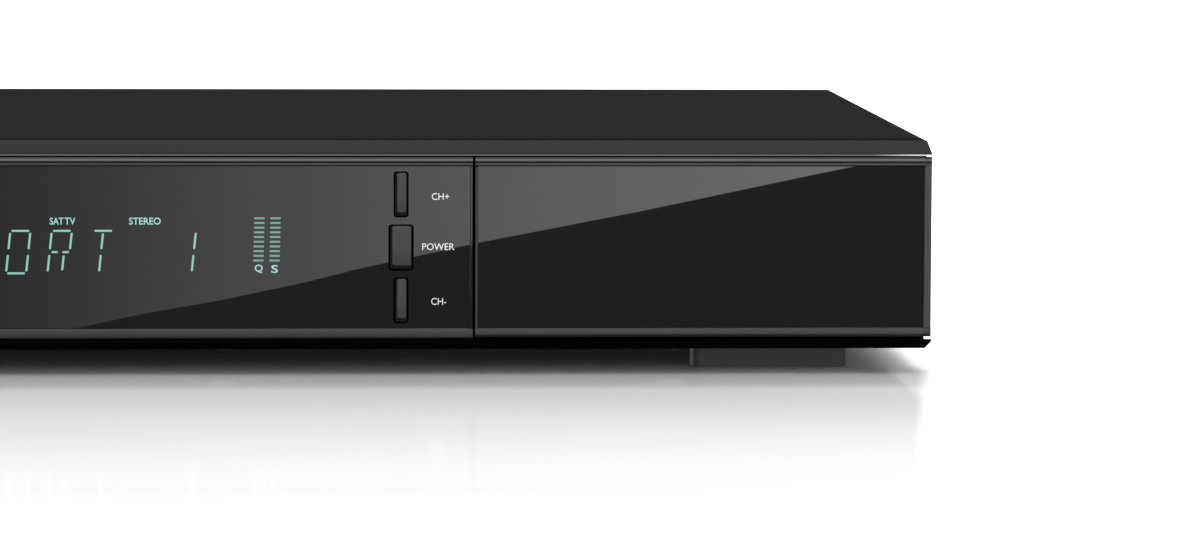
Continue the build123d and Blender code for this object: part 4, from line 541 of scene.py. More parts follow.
shape = bmesh.new()
lower_door = list(lower_strip)
lower_door[3:5] = [(front_y, door_low + 0.6), (front_y + 0.6, door_low)]
upper_door = [(min(y, panel_back - 0.2), z) for y, z in upper_strip]
for strip in (upper_door, lower_door):
    add_prism(shape, strip, door_left, door_right, "x")
upright(shape, door_left, door_left + inner_width, 0.3, 0.05)
upright(shape, door_right - end_width, door_right, 0.2, 0.3)
knuckle_gaps = []
for x, turn in lugs:
    reach = knuckle_half + knuckle_play
    knuckle_gaps.append((x - reach, x + reach, inlay_low, hinge_z + 1.7))
    start, end = x + turn * reach, x + turn * (reach + lug_width)
    ring_lug(shape, min(start, end), max(start, end))
pocket_floor(shape, door_left + inner_width, door_right - end_width, knuckle_gaps)
fitted(made_mesh("door_trim", shape, satin_trim, 20.0), "case_plastic", "door_frame", body="door")

# ---------- glossy inlays
# Both inlays are smoked black acrylic with a polished face. Under light it shows only the
# faintest dust and hairline wipe marks.
polish = Finish("smoked_acrylic")
wipe = polish.speckle(260.0, 4.0, (1.0, 1.0, 7.0))
dust = polish.speckle(5200.0, 0.0)
inlay_rough = 0.003 + 0.006 * wipe + 0.25 * (dust > 0.8)
smoke = {"Base Color": (0.0025, 0.0025, 0.0028), "Roughness": inlay_rough, "IOR": 1.49}
smoked_acrylic = polish.done(smoke)
dress(smoked_acrylic, "display_window", "door_panel")

# ---------- display
# A vacuum fluorescent tube glows through the inlay. It has room for twelve slanted characters
# of straight phosphor strokes, small words above them and two level columns at the right.
def lit(name, make_light):
    """Phosphor that is dark by itself and glows a little unevenly from grain to grain."""
    glow = Finish(name)
    return glow.done({
        "Base Color": (0.01, 0.02, 0.018),
        "Emission Color": make_light(glow, glow.speckle(9000.0, 1.0)),
        "Emission Strength": 1.0,
        "Roughness": 0.05,
    })


def stroke_light(glow, grain):
    """The words over the characters and beside them are paler than the characters."""
    figure_light = glow.blend(grain, (0.2, 0.475, 0.395), (0.295, 0.615, 0.54))
    word_light = glow.blend(grain, (0.28, 0.53, 0.475), (0.365, 0.655, 0.59))
    words_band = (glow.axis("Z") > words_from_z) + (glow.axis("X") > words_from_x)
    return glow.blend(words_band.math("MINIMUM", 1.0), figure_light, word_light)


words_from_z, words_from_x = 29.3 * MM, 4.0 * MM
phosphor = lit("phosphor", stroke_light)
bar_tones = [(0.132, 0.26, 0.215), (0.185, 0.37, 0.3)]
phosphor_dim = lit("phosphor_dim", lambda glow, grain: glow.blend(grain, *bar_tones))
inlay_face = -97.3
glow_y = inlay_face - 0.015
cell_pitch = 8.04
cell_right = 1.14
cell_mid_z = 24.25
stroke = 0.2
stroke_tip = 0.08
slant = 0.105
strokes = {
    "a": ((-1.63, 4.15), (1.63, 4.15)),
    "f": ((-1.95, 3.7), (-1.95, 0.65)),
    "b": ((1.95, 3.7), (1.95, 0.65)),
    "g": ((-1.5, 0.0), (-0.45, 0.0)),
    "h": ((0.6, 0.0), (1.7, 0.0)),
    "e": ((-1.95, -0.65), (-1.95, -3.7)),
    "c": ((1.95, -0.65), (1.95, -3.7)),
    "d": ((-1.63, -4.15), (1.63, -4.15)),
    "k": ((0.0, 3.6), (0.0, 0.65)),
    "m": ((0.0, -0.65), (0.0, -3.7)),
    "n": ((0.85, -0.75), (0.85, -3.5)),
}
figures = {"P": "abfghe", "O": "abcdef", "R": "abfghen", "T": "akm", "1": "bc"}
shown = "     PORT 1 "


def add_stroke(shape, start, end, centre_x):
    """A flat stroke with cut corners, leaning with the characters."""
    along = (Vector(end) - Vector(start)).normalized()
    side = Vector((-along.y, along.x)) * stroke
    corners = []
    for point, sense in ((Vector(start), 1), (Vector(end), -1)):
        tip = point - along * sense * stroke_tip
        wide, narrow = side * sense, side * 0.4 * sense
        corners += [point + wide, tip + narrow, tip - narrow, point - wide]
    flat = [(centre_x + x + slant * z, cell_mid_z + z) for x, z in corners]
    add_prism(shape, flat, glow_y, inlay_face, "y")


shape = bmesh.new()
for place, figure in enumerate(reversed(shown)):
    for name in figures.get(figure, ""):
        add_stroke(shape, *strokes[name], cell_right - place * cell_pitch)
fitted(made_mesh("display_figures", shape, phosphor), "display_glass")

level_x = [7.75, 10.9]
level_top = 30.85
level_pitch = 0.92
level_upright = 26.7
level_lean = 0.024
bar_half, bar_thin = 1.0, 0.19
shape = bmesh.new()
for x in level_x:
    for bar in range(10):
        z = level_top - bar * level_pitch
        middle = x + level_lean * (z - level_upright)
        dash = rectangle(middle - bar_half, middle + bar_half, z - bar_thin, z + bar_thin)
        add_prism(shape, dash, glow_y, inlay_face, "y")
fitted(made_mesh("display_levels", shape, phosphor_dim), "display_glass")

label_ink = grained("label_ink", 6000.0, [(0.62, 0.63, 0.65), (0.8, 0.81, 0.82)], 0.3, 0.1, detail=1.0)


def lettering(name, words, y, material, slot, weight=0.0, thick=0.008, rear=False):
    """Flat words on an upright face at y: each is text, middle x, middle z, height and width."""
    shape = bmesh.new()
    for text, x, z, high, wide in words:
        curve = bpy.data.curves.new(name, "FONT")
        curve.body = text
        curve.align_x = "CENTER"
        curve.offset = weight
        curve.extrude = 0.5
        curve.resolution_u = 3
        loose = put(name, curve)
        mesh = evaluated_mesh(loose)
        bpy.data.objects.remove(loose)
        low = [min(v.co[i] for v in mesh.vertices) for i in range(3)]
        size = [max(v.co[i] for v in mesh.vertices) - low[i] for i in range(3)]
        for v in mesh.vertices:
            across, up, out = [(v.co[i] - low[i]) / size[i] for i in range(3)]
            across, up, out = (across - 0.5) * wide, (up - 0.5) * high, out * thick
            v.co = Vector((x - across, y + out, z + up) if rear else (x + across, y - out, z + up)) * MM
        shape.from_mesh(mesh)
        bpy.data.meshes.remove(mesh)
    return fitted(made_mesh(name, shape, material), slot)


words = [
    ("SAT", -31.6, 30.3, 1.4, 2.7), ("TV", -29.0, 30.3, 1.4, 2.1), ("STEREO", -14.46, 30.3, 1.4, 6.2),
    ("Q", 7.7, 20.95, 1.7, 1.6), ("S", 10.8, 20.9, 1.6, 1.35),
]
lettering("display_words", words, inlay_face, phosphor, "display_glass", 0.02, 0.015)
labels = [("CH+", 43.2, 35.1, 1.35, 3.4), ("POWER", 42.8, 25.25, 1.35, 6.3)]
labels += [("CH-", 42.9, 14.5, 1.35, 2.95)]
lettering("key_labels", labels, inlay_face, label_ink, "gloss_inlay")
bay_wall = -88.0
bay_labels = [("CARD", 64.2, 30.2, 1.3, 4.6), ("CI", 61.9, 22.7, 1.3, 2.0)]
bay_labels += [("EJECT", 118.25, 20.2, 1.1, 4.8)]
lettering("bay_labels", bay_labels, bay_wall, label_ink, "case_plastic")

# ---------- front keys
# Three moulded keys with a satin face. Each face ends in a black rim of painted shade with rounded corners
# and has painted shade towards its lower end.
key = Finish("key_plastic")
key_grain = key.speckle(2600.0)
key_step = 10.4
face_shift = 0.12
lowest_key_end = 9.9
half_face_width, half_face_height = 0.86, 3.88
power_wider = 0.96
along_key = (key.axis("Z") - lowest_key_end * MM).math("MODULO", key_step * MM)
from_middle = (key.axis("X") - (key_x + face_shift) * MM).math("ABSOLUTE")
from_centre = (along_key - key_step / 2 * MM).math("ABSOLUTE")
power_row = key.axis("Z").between(19.9, 30.3)
face_half = half_face_width * MM + power_row * (power_wider * MM)
corner = 0.45 * MM
past_side = (from_middle - face_half + corner).math("MAXIMUM", 0.0)
past_end = (from_centre - (half_face_height * MM - corner)).math("MAXIMUM", 0.0)
inside_face = past_side * past_side + past_end * past_end < corner * corner
key_colour = key.blend(key_grain, (0.0355, 0.036, 0.0365), (0.041, 0.0415, 0.042))
painted_key_shade = along_key.stretched(2.5, 4.4, 0.42, 0.0)
key_colour = key.blend(painted_key_shade, key_colour, (0.01, 0.01, 0.01))
key_face = key.patterned(key_grain, [key_colour], 0.36, 0.12, 0.01, 0.3)
painted_rim_shade = key.plain((0.004, 0.004, 0.004), 0.6, 0.1)
satin_key = key.finished(key.mixed(inside_face, painted_rim_shade, key_face))
dress(satin_key, "channel_up_button", "power_button", "channel_down_button")

# ---------- feet
# Four feet moulded in matte dark plastic with a fine grain. Each stands under a corner of the
# case and is screwed from below into the tray.
foot_tone = [(0.073, 0.0735, 0.074)]
foot_plastic = grained("foot_plastic", 1600.0, foot_tone, 0.58, 0.12, 0.02, 3.0, gloss=0.3)
dress(foot_plastic, "feet")

# ---------- tray and brackets
# The tray, the card bracket, the module slot and the tuner cans are zinc-plated sheet steel,
# folded and punched. The plating has soft spangle and rolling marks.
plating = Finish("zinc_plating")
spangle = plating.node("ShaderNodeTexVoronoi", {}, {"Vector": plating.place, "Scale": 130.0}, "Color")
spangle_grey = plating.node("ShaderNodeSeparateColor", {}, {"Color": spangle})
rolling = plating.speckle(700.0, 2.0, (0.06, 1.0, 1.0))
zinc_colour = plating.blend(spangle_grey, (0.52, 0.53, 0.545), (0.64, 0.65, 0.66))
zinc_rough = 0.3 + 0.12 * spangle_grey + 0.08 * rolling
zinc_look = {"Base Color": zinc_colour, "Metallic": 1.0, "Roughness": zinc_rough}
zinc = plating.shader(zinc_look, rolling, 0.006)
# Painted shade: the outside of the tray's bottom is a flat black, a dark sheet that keeps the floor under
# the case in deep shade
shade_black_underside = plating.plain((0.006, 0.006, 0.006), 0.7, 0.1)
under_tray = plating.axis("Z") < 5.05 * MM
zinc_plating = plating.finished(plating.mixed(under_tray, zinc, shade_black_underside))
dress(zinc_plating, "chassis_tray", "reader_bracket", "ci_slot", "tuners")

bright_screw = grained("bright_screw", 2200.0, [(0.6, 0.6, 0.6)], 0.26, 0.14, 0.01, 1.0, Metallic=1.0)
dress(bright_screw, "board_screws", "hinge_pins", "eject_lever", "eject_plate", "fuse")

# ---------- sockets
# Turned brass with a nickel plating stands in the rear panel, beside sockets moulded in black
# nylon. The same nylon makes the reader, the latch and the keys' switches inside.
nickel_tones = [(0.62, 0.59, 0.54), (0.74, 0.71, 0.66)]
nickel_plate = grained(
    "nickel_plate", 2500.0, nickel_tones, 0.2, 0.12, 0.005, 1.0, (1.0, 0.1, 1.0), Metallic=1.0
)
dress(nickel_plate, "f_nuts", "iec_sockets", "board_standoffs")
black_nylon = grained("black_nylon", 2000.0, [(0.018, 0.018, 0.019)], 0.42, 0.14, 0.012)
dress(
    black_nylon, "optical_port", "rca_block", "scart_port", "mains_inlet", "mains_switch", "mains_rocker",
    "card_reader", "ci_connector", "eject_button", "latch_body", "key_switches", "remote_receiver",
)

# ---------- aerial sockets
# The dish sockets are turned brass with a rolled thread and a white insulator behind the
# mouth. The aerial sockets are plain collars with the same insulator deep inside.
panel_y = 87.5
aerial_z = 19.6
dish_x = [101.5, 121.5]
aerial_x = [62.5, 82.5]
thread_pitch = 0.794
socket_reach = 10.0


def rear_places(spots, y=panel_y):
    """Points on the rear panel, facing backwards."""
    return [((x * MM, y * MM, z * MM), (0, 1, 0)) for x, z in spots]


def turned_row(name, rounds, places, material, slot, *replaced):
    """A turned piece at each place. Each of its rounds is an outline, a number of steps and
    whether the outline closes round a ring."""
    shape = bmesh.new()
    for outline, steps, closed in rounds:
        add_turned(shape, outline, steps, closed)
    blank = made_mesh(name + "_blank", shape, material)
    row = placed_copies(name, blank, places, material)
    return fitted(row, slot, *replaced)


thread = [(0.0, -1.1), (4.2, -1.1), (4.2, 2.1), (4.4, 2.3)]
for turn in range(9):
    level = 2.3 + turn * thread_pitch
    thread += [(4.75, level + 0.32), (4.75, level + 0.44), (4.4, level + thread_pitch - 0.02)]
thread += [(4.45, 9.75), (4.25, socket_reach), (3.4, socket_reach), (3.3, 9.9), (3.3, 9.0)]
thread += [(0.55, 9.0), (0.55, 4.0), (0.0, 4.0)]
dish_places = rear_places([(x, aerial_z) for x in dish_x])
aerial_places = rear_places([(x, aerial_z) for x in aerial_x])
turned_row("dish_sockets", [(thread, 40, False)], dish_places, nickel_plate, "nickel_brass", "f_sockets")

white_insulator = grained("white_insulator", 1800.0, [(0.7, 0.7, 0.68), (0.8, 0.8, 0.79)], 0.4, 0.1)
dish_disc = [(0.8, 9.01), (0.8, 9.2), (1.1, 9.3), (3.0, 9.3), (3.28, 9.15), (3.28, 9.01)]
turned_row("dish_insulators", [(dish_disc, 28, True)], dish_places, white_insulator, "white_plastic")
aerial_disc = [(2.25, 2.02), (2.25, 2.9), (2.5, 3.1), (3.9, 3.1), (4.07, 2.9), (4.07, 2.02)]
turned_row("aerial_insulators", [(aerial_disc, 28, True)], aerial_places, white_insulator, "white_plastic")

# ---------- phono sockets
# Four phono sockets stand on one black block. Each has a nickel sleeve, a coloured insulator
# in its mouth and a spring contact in its bore.
phono_x = [-27.5, -17.5]
phono_z = [18.4, 30.4]
mouth_y = 87.9
phono_places = rear_places([(x, z) for x in phono_x for z in phono_z], mouth_y)
sleeve_ring = [(4.16, 0.0), (4.27, 0.02), (4.27, 8.35), (4.1, 8.58), (3.45, 8.58), (3.35, 8.5), (4.16, 8.5)]
spring_ring = [(1.5, 1.0), (1.68, 1.0), (1.68, 8.35), (1.6, 8.42), (1.5, 8.3)]
sleeve_rounds = [(sleeve_ring, 36, True), (spring_ring, 20, True)]
turned_row("phono_sleeves", sleeve_rounds, phono_places, nickel_plate, "nickel_brass")
insert = Finish("phono_colours")
insert_grain = insert.speckle(2200.0, 1.0)
upper_row = insert.axis("Z") > sum(phono_z) / 2 * MM
outer_column = insert.axis("X") < sum(phono_x) / 2 * MM
outer_pair = insert.blend(upper_row, (0.75, 0.2, 0.02), (0.8, 0.62, 0.03))
inner_pair = insert.blend(upper_row, (0.5, 0.02, 0.02), (0.78, 0.78, 0.76))
row_colour = insert.blend(outer_column, inner_pair, outer_pair)
phono_colours = insert.finished(insert.patterned(insert_grain, [row_colour], 0.32, 0.12))
insert_ring = [(1.72, 8.49), (1.72, 8.66), (1.95, 8.72), (3.1, 8.62), (3.33, 8.54), (3.33, 8.49)]
turned_row("phono_inserts", [(insert_ring, 32, True)], phono_places, phono_colours, "black_plastic")

# ---------- other plug sockets
# Small plugs go into drawn metal shells with a black tongue inside. The network socket has a
# black core with eight gold springs, and the wide socket a shroud round its tongue.
front_media_x, media_x, av_x, network_x, wide_x, inlet_x = 128.9, -3.0, 46.0, 14.5, -59.5, -123.25
shell = Finish("drawn_shell")
shell_mark = shell.speckle(2500.0, 1.0, (0.2, 1.0, 1.0))
shell_x, shell_z = shell.axis("X"), shell.axis("Z")
media_tongue = shell_x.near(front_media_x, 5.03) + shell_x.near(media_x, 5.03)
media_tongue = media_tongue * shell_z.between(15.38, 17.22)
av_tongue = shell_x.near(av_x, 5.33) * shell_z.between(14.98, 16.22)
network_core = shell_x.near(network_x, 5.95) * shell_z.between(12.9, 22.95)
network_core = network_core * (shell.axis("Y") < 87.8 * MM)
shell_tones = [(0.6, 0.6, 0.6), (0.72, 0.72, 0.71)]
bright_shell = shell.patterned(shell_mark, shell_tones, 0.2, 0.12, 0.005, Metallic=1.0)
black_core = shell.patterned(shell_mark, [(0.015, 0.015, 0.016)], 0.4, 0.1)
core_part = (media_tongue + av_tongue + network_core).math("MINIMUM", 1.0)
drawn_shell = shell.finished(shell.mixed(core_part, bright_shell, black_core))
dress(drawn_shell, "hdmi_port", "usb_ports", "network_port")
gold_tones = [(0.72, 0.5, 0.18), (0.85, 0.62, 0.27)]
gold_contacts = grained("gold_contacts", 5000.0, gold_tones, 0.22, 0.1, detail=1.0, Metallic=1.0)


def contact_blank(width, length, thick):
    """A flat spring with a lifted, rounded nose. It lies along Z, its nose at Z = 0."""
    shape = bmesh.new()
    side = [(0.0, -length), (thick, -length), (thick, -0.5), (thick * 0.7, -0.1), (0.0, 0.0)]
    add_prism(shape, side, -width / 2, width / 2, "x")
    return made_mesh("contact_blank", shape, gold_contacts)


def spots_along(x, z, count, pitch):
    """A row of spots about x."""
    return [(x + (i - (count - 1) / 2) * pitch, z) for i in range(count)]


contact_rows = {
    "av_contacts": ((0.4, 5.0, 0.08), spots_along(av_x, 16.2, 10, 1.0), 86.5),
    "media_contacts": ((1.1, 7.0, -0.08), spots_along(media_x, 15.4, 4, 2.3), 86.7),
    "wide_upper_contacts": ((1.5, 7.0, 0.14), spots_along(wide_x, 21.8, 10, 3.3), 85.6),
    "wide_lower_contacts": ((1.5, 7.0, -0.14), spots_along(wide_x, 16.8, 11, 3.3), 85.6),
}
for name, (sizes, spots, y) in contact_rows.items():
    row = placed_copies(name, contact_blank(*sizes), rear_places(spots, y), gold_contacts)
    fitted(row, "nickel_brass")
shape = bmesh.new()
wire_half = 0.19
wire = [(84.2, 22.7), (85.0, 22.85), (79.0, 20.2), (76.0, 19.6), (76.0, 19.35), (79.2, 19.85)]
for x, z in spots_along(network_x, 0.0, 8, 1.02):
    add_prism(shape, wire, x - wire_half, x + wire_half, "x")
fitted(made_mesh("network_springs", shape, gold_contacts), "nickel_brass")


def wide_mouth(inset):
    """The mouth of the wide socket, with one sloping corner, drawn in by the inset."""
    half, low, high = 20.48 - inset, 14.62 + inset, 24.18 - inset
    slope_x, slope_z = -17.0 + inset * 0.6, 20.7 - inset * 0.4
    corners = [(-half, low), (half, low), (half, high), (slope_x, high), (-half, slope_z)]
    return [(wide_x + x, z) for x, z in corners]


shape = bmesh.new()
shroud_start, shroud_end, shroud_thick = 79.0, 87.98, 0.35
add_wall(shape, [
    [(x, y, z) for x, z in wide_mouth(inset)]
    for inset in (0.0, shroud_thick) for y in (shroud_start, shroud_end)
])
fitted(made_mesh("wide_socket_shroud", shape, drawn_shell), "tinned_steel")
shape = bmesh.new()
flap = [(27.75, 14.65), (33.25, 14.65), (33.25, 19.6), (32.6, 20.15), (28.4, 20.15), (27.75, 19.6)]
add_prism(shape, flap, 86.9, 87.2, "y")
for x in (29.2, 31.6):
    add_prism(shape, rectangle(x, x + 0.2, 15.4, 19.4), 87.19, 87.3, "y")
fitted(made_mesh("optical_shutter", shape, black_nylon), "black_plastic")
pin_outline = [(0.0, -8.0), (1.22, -8.0), (1.22, -0.45), (1.05, -0.1), (0.6, 0.06), (0.0, 0.1)]
pin_places = rear_places(spots_along(inlet_x, 18.7, 2, 8.6), 85.4)
turned_row("inlet_pins", [(pin_outline, 24, False)], pin_places, nickel_plate, "nickel_brass")

# ---------- marks on the back
# Names of the sockets are screen printed in black on the bare panel. The rocker carries the
# two usual marks, pad printed in white on its sloping halves.
stamp_tones = [(0.012, 0.012, 0.012), (0.03, 0.03, 0.03)]
stamp_ink = grained("stamp_ink", 5000.0, stamp_tones, 0.45, 0.1, detail=1.0)
rocker_x, rocker_y, rocker_z = -99.0, 85.5, 28.4
socket_names = [
    ("LNB IN", dish_x[1], 27.6, 8.2), ("LNB OUT", dish_x[0], 27.6, 10.2),
    ("ANT IN", aerial_x[1], 27.6, 8.2), ("TV OUT", aerial_x[0], 27.6, 8.4),
    ("DIGITAL AV", av_x, 20.8, 11.4), ("OPTICAL", 30.5, 24.6, 8.6),
    ("NETWORK", network_x, 27.9, 10.4), ("MEDIA", media_x, 20.8, 7.0),
    ("L", -10.9, phono_z[1], 0.9), ("R", -10.9, phono_z[0], 1.1),
    ("AV", -34.8, phono_z[1], 2.2), ("DIG", -34.8, phono_z[0], 2.9),
    ("TV", wide_x, 28.5, 2.8), ("POWER", rocker_x, 18.4, 7.2), ("AC IN", inlet_x, 27.0, 6.6),
]
stamped = [(text, x, z, 1.6, wide) for text, x, z, wide in socket_names]
lettering("socket_names", stamped, panel_y, stamp_ink, "plated_steel", thick=0.01, rear=True)
rocker_tilt = radians(8)
mark_sunk, mark_raised = -0.02, 0.025


def on_rocker(x, up, lift):
    """A point of the rocker's leaning face, given across, up and out of it."""
    out = 2.7 + abs(up) / 4.2 * 0.7 + lift
    y = rocker_y + out * cos(rocker_tilt) - up * sin(rocker_tilt)
    return (rocker_x + x, y, rocker_z + out * sin(rocker_tilt) + up * cos(rocker_tilt))


def add_mark(shape, outer, inner):
    """A raised mark on the rocker between two outlines, given across and up its face."""
    add_wall(shape, [
        [on_rocker(*spot, lift) for spot in edge]
        for edge in (outer, inner) for lift in (mark_sunk, mark_raised)
    ])


shape = bmesh.new()
add_mark(shape, oval(0.85, 0.95, 24, -2.4), oval(0.6, 0.7, 24, -2.4))
bar = rectangle(-0.14, 0.14, 1.5, 3.3)
add_mark(shape, bar, [(x * 0.05, 2.4 + (up - 2.4) * 0.9) for x, up in bar])
fitted(made_mesh("rocker_marks", shape, label_ink), "white_plastic", body="rocker")

# ---------- boards and what they carry
# The main and front boards are green, with copper tracks as faint relief under the solder
# mask, and the power board is brown. Chips, sleeved cans, wound cores, plugs, leads, the
# ribbon and the display tube with its foam each keep the usual finish of their kind.
mask = Finish("solder_mask")
brick = {"Vector": mask.place, "Scale": 120.0, "Mortar Size": 0.04}
tracks = mask.node("ShaderNodeTexBrick", {"offset": 0.5}, brick, "Fac")
mask_speckle = mask.speckle(900.0, 3.0)
mask_green = mask.blend(tracks, (0.012, 0.085, 0.035), (0.03, 0.16, 0.07))
mask_look = {"Base Color": mask_green, "Roughness": 0.25 + 0.15 * mask_speckle}
solder_mask = mask.done(mask_look, tracks + mask_speckle, 0.01)
dress(solder_mask, "main_board", "front_board")
board_tones = [(0.26, 0.17, 0.07), (0.36, 0.25, 0.11)]
phenolic_board = grained("phenolic_board", 500.0, board_tones, 0.5, 0.1, 0.01, 4.0, (1.0, 0.2, 1.0))
dress(phenolic_board, "power_board")
chip_epoxy = grained("chip_epoxy", 4000.0, [(0.02, 0.02, 0.021)], 0.5, 0.15, 0.01)
dress(chip_epoxy, "board_chips")
sleeve = Finish("capacitor_sleeve")
stripe = (sleeve.speckle(90.0, 0.0) > 0.56) * (sleeve.axis("Z") < 60.0 * MM)
facing = sleeve.node("ShaderNodeNewGeometry", {}, {}, "Normal")
can_top = sleeve.node("ShaderNodeSeparateXYZ", {}, {"Vector": facing}, "Z") > 0.9
sleeve_colour = sleeve.blend(stripe, (0.012, 0.016, 0.06), (0.3, 0.32, 0.36))
capacitor_sleeve = sleeve.done({
    "Base Color": sleeve.blend(can_top, sleeve_colour, (0.6, 0.6, 0.62)),
    "Metallic": can_top * 1.0,
    "Roughness": 0.28 + 0.1 * sleeve.speckle(800.0),
})
dress(capacitor_sleeve, "capacitors")
drawn_tones = [(0.52, 0.53, 0.55), (0.66, 0.67, 0.69)]
drawn_aluminium = grained(
    "drawn_aluminium", 1800.0, drawn_tones, 0.32, 0.16, 0.01, 2.0, (1.0, 0.03, 1.0), Metallic=1.0
)
dress(drawn_aluminium, "processor_heatsink", "power_heatsink")
core = Finish("ferrite_and_tape")
core_grain = core.speckle(1200.0, 3.0)
tape = core.axis("Z").between(16.5, 29.0) * (core.speckle(60.0, 0.0) > 0.2)
core_colour = core.blend(tape, (0.035, 0.035, 0.037), (0.55, 0.42, 0.07))
ferrite_and_tape = core.finished(core.patterned(core_grain, [core_colour], 0.45, 0.2, 0.02))
dress(ferrite_and_tape, "power_transformer", "mains_filter")
natural_tones = [(0.68, 0.66, 0.6), (0.76, 0.74, 0.69)]
natural_nylon = grained("natural_nylon", 1500.0, natural_tones, 0.4, 0.1, 0.01)
plungers = ["latch_plunger", "channel_up_plunger", "power_plunger", "channel_down_plunger"]
dress(natural_nylon, "ribbon_connectors", *plungers)
ribbon = Finish("flat_cable")
wave = {"Vector": ribbon.place, "Scale": 314.0}
lanes = ribbon.node("ShaderNodeTexWave", {"bands_direction": "X"}, wave, "Fac")
lane_tones = [(0.42, 0.44, 0.48), (0.72, 0.73, 0.75)]
ribbon_plastic = ribbon.finished(ribbon.patterned(lanes, lane_tones, 0.35, 0.1, 0.04))
dress(ribbon_plastic, "ribbon_cable")
leads = Finish("lead_insulation")
lead_shade = leads.axis("Y") > -45.0 * MM
lead_colour = leads.blend(lead_shade, (0.35, 0.02, 0.015), (0.02, 0.02, 0.02))
lead_insulation = leads.finished(leads.patterned(leads.speckle(900.0), [lead_colour], 0.4, 0.1))
dress(lead_insulation, "power_harness")
tube = Finish("tube_glass")
grid = {"Vector": tube.place, "Scale": 900.0, "Mortar Size": 0.1}
mesh_lines = tube.node("ShaderNodeTexBrick", {"offset": 0.0}, grid, "Fac")
glass_tones = [(0.02, 0.03, 0.03), (0.09, 0.11, 0.11)]
tube_glass = tube.finished(tube.patterned(mesh_lines, glass_tones, 0.06, 0.04, **{"Coat Weight": 1.0}))
dress(tube_glass, "display_tube")
foam_tones = [(0.03, 0.03, 0.03), (0.07, 0.07, 0.07)]
closed_cell_foam = grained("closed_cell_foam", 2600.0, foam_tones, 0.85, 0.1, 0.1, 3.0)
dress(closed_cell_foam, "display_holder")
lamp = Finish("lamp_plastic")
lamp_colour = lamp.blend(lamp.speckle(400.0), (0.25, 0.02, 0.015), (0.4, 0.04, 0.03))
lamp_plastic = lamp.done({"Base Color": lamp_colour, "Roughness": 0.15 + 0.05 * lamp.speckle(300.0)})
dress(lamp_plastic, "standby_lamp")

# ---------- studio
# A white floor, a white room, a soft box and two cards that only glossy faces reflect. The
# front card draws the bright wedge on the inlays, the rear one lights the metal behind.
floor_shape = bmesh.new()
bmesh.ops.create_grid(floor_shape, x_segments=1, y_segments=1, size=3.0)
floor_mesh = bpy.data.meshes.new("floor")
floor_shape.to_mesh(floor_mesh)
floor_shape.free()
floor = put("floor", floor_mesh)
# The floor is glossy only in front of the case, between its ends, and fades out forwards
lino = Finish("floor")
end_lean = 0.125
before_case = (lino.axis("Y") * -1.0 + front_y * MM).math("MAXIMUM", 0.0)
from_end = lino.axis("X").math("ABSOLUTE") + before_case * end_lean
beside_case = from_end.stretched(136.5, 143.5, 1.0, 0.0)
under_case = lino.axis("Y").stretched(-94.5, -77.0, 1.0, 0.0)
close_by = before_case.stretched(14.0, 31.0, 0.13, 0.0)
further = before_case.stretched(40.0, 178.0, 0.51, 0.37)
far_end = before_case.stretched(178.0, 260.0, 1.0, 0.0)
gloss_share = beside_case * under_case * far_end * (close_by + further)
black, white = (0.0, 0.0, 0.0), (1.0, 1.0, 1.0)
# Painted light: away from the ends of the case the floor glows, which clears the soft shade beside the case
floor_matt = lino.shader({
    "Base Color": (0.95, 0.95, 0.95),
    "Roughness": 1.0,
    "Specular IOR Level": 0.0,
    "Emission Color": lino.blend(beside_case, white, black),
    "Emission Strength": 0.45,
})
floor_gloss = lino.node("ShaderNodeBsdfGlossy", {}, {"Color": white, "Roughness": 0.08})
lino.finished(lino.mixed(gloss_share, floor_matt, floor_gloss))
floor_mesh.materials.append(lino.material)
floor.visible_glossy = False


def card(name, corners, brightest, make_share):
    """A glowing card that only glossy faces see. Its share of the brightest light varies over it."""
    mesh = bpy.data.meshes.new(name)
    mesh.from_pydata(corners, [], [list(range(len(corners)))])
    piece = put(name, mesh)
    light = Finish(name)
    sheet = {"Base Color": black, "Roughness": 1.0, "Specular IOR Level": 0.0}
    glow = light.blend(make_share(light), black, white)
    sheet |= {"Emission Color": glow, "Emission Strength": brightest}
    mesh.materials.append(light.done(sheet))
    piece.visible_camera = piece.visible_diffuse = piece.visible_shadow = False
    piece.visible_transmission = piece.visible_volume_scatter = False
    return piece


# Mirror rule: a point of the inlay at x, z sees the card at x * reach, eye_z - (eye_z - z) * reach.
# The points of the inlay are given on a grid of squares, counted from its left upper corner.
eye_z = 116.7
card_y = -997.5
reach = 1.8
grid_size = 0.197
grid_middle, grid_top = 221.0, 73.8


def seen_from(across, down):
    x = (across - grid_middle) * grid_size
    z = grid_top - down * grid_size
    return (x * reach * MM, card_y * MM, (eye_z - (eye_z - z) * reach) * MM)


def wedge_share(light):
    """The light grows evenly from the left end of the wedge to its right end."""
    column = light.axis("X") * (1 / (grid_size * reach * MM)) + grid_middle
    return column.math("MAXIMUM", dimmest_column) * share_per_column + first_share


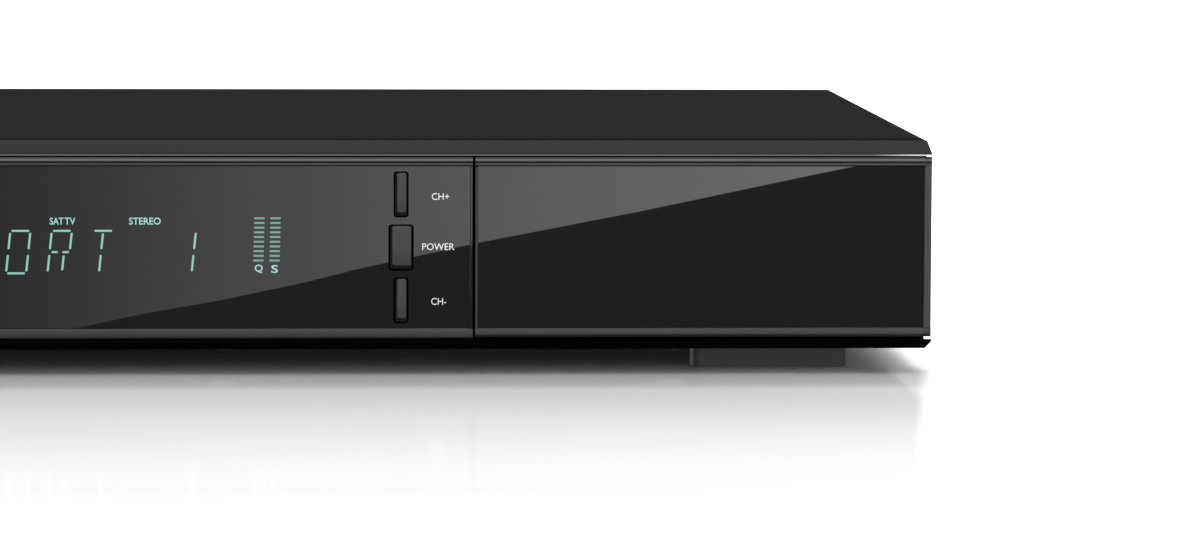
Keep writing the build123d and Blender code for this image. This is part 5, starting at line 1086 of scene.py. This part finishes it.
dimmest_column, share_per_column, first_share = -120.0, 0.00372 * 0.125, 0.6 * 0.125
bends = [(75, 330), (145, 315), (220, 302), (300, 285), (360, 270)]
bends += [(480, 244), (640, 213), (820, 175), (862, 166.5)]
far_left, far_right, far_up = -1400, 1500, -2600
rim = [(far_left, 636), *bends, (far_right, 34), (far_right, far_up), (far_left, far_up)]
card("wedge_card", [seen_from(*bend) for bend in rim], 8.0, wedge_share)
side, low, high = 1200.0, -1200.0, -20.0
rear_corners = [(x * MM, 1.0, z * MM) for x, z in rectangle(-side, side, low, high)]
card("rear_card", rear_corners, 1.0, lambda light: light.axis("Z").stretched(low, 0.0, 0.7, 1.0))

room = bpy.data.worlds.new("room")
bpy.context.scene.world = room
room.use_nodes = True
sky = room.node_tree
sky.nodes.clear()
path = sky.nodes.new("ShaderNodeLightPath")
lights = {}
for seen_by, strength in (("all", 1.4), ("gloss", 0.28), ("camera", 1.3)):
    lights[seen_by] = sky.nodes.new("ShaderNodeBackground")
    lights[seen_by].inputs["Color"].default_value = (*white, 1.0)
    lights[seen_by].inputs["Strength"].default_value = strength
for_gloss, for_camera = sky.nodes.new("ShaderNodeMixShader"), sky.nodes.new("ShaderNodeMixShader")
sky_out = sky.nodes.new("ShaderNodeOutputWorld")
for start, end in (
    (path.outputs["Is Glossy Ray"], for_gloss.inputs[0]),
    (lights["all"].outputs[0], for_gloss.inputs[1]),
    (lights["gloss"].outputs[0], for_gloss.inputs[2]),
    (path.outputs["Is Camera Ray"], for_camera.inputs[0]),
    (for_gloss.outputs[0], for_camera.inputs[1]),
    (lights["camera"].outputs[0], for_camera.inputs[2]),
    (for_camera.outputs[0], sky_out.inputs["Surface"]),
):
    sky.links.new(start, end)

softbox = bpy.data.lights.new("top_box", "AREA")
softbox.shape = "RECTANGLE"
softbox.size, softbox.size_y = 1.2, 0.9
softbox.energy = 4.0
top_box = put("top_box", softbox)
top_box.location = (0.1, -0.1, 1.3)
top_box.rotation_euler = (-top_box.location).to_track_quat("-Z", "Y").to_euler()
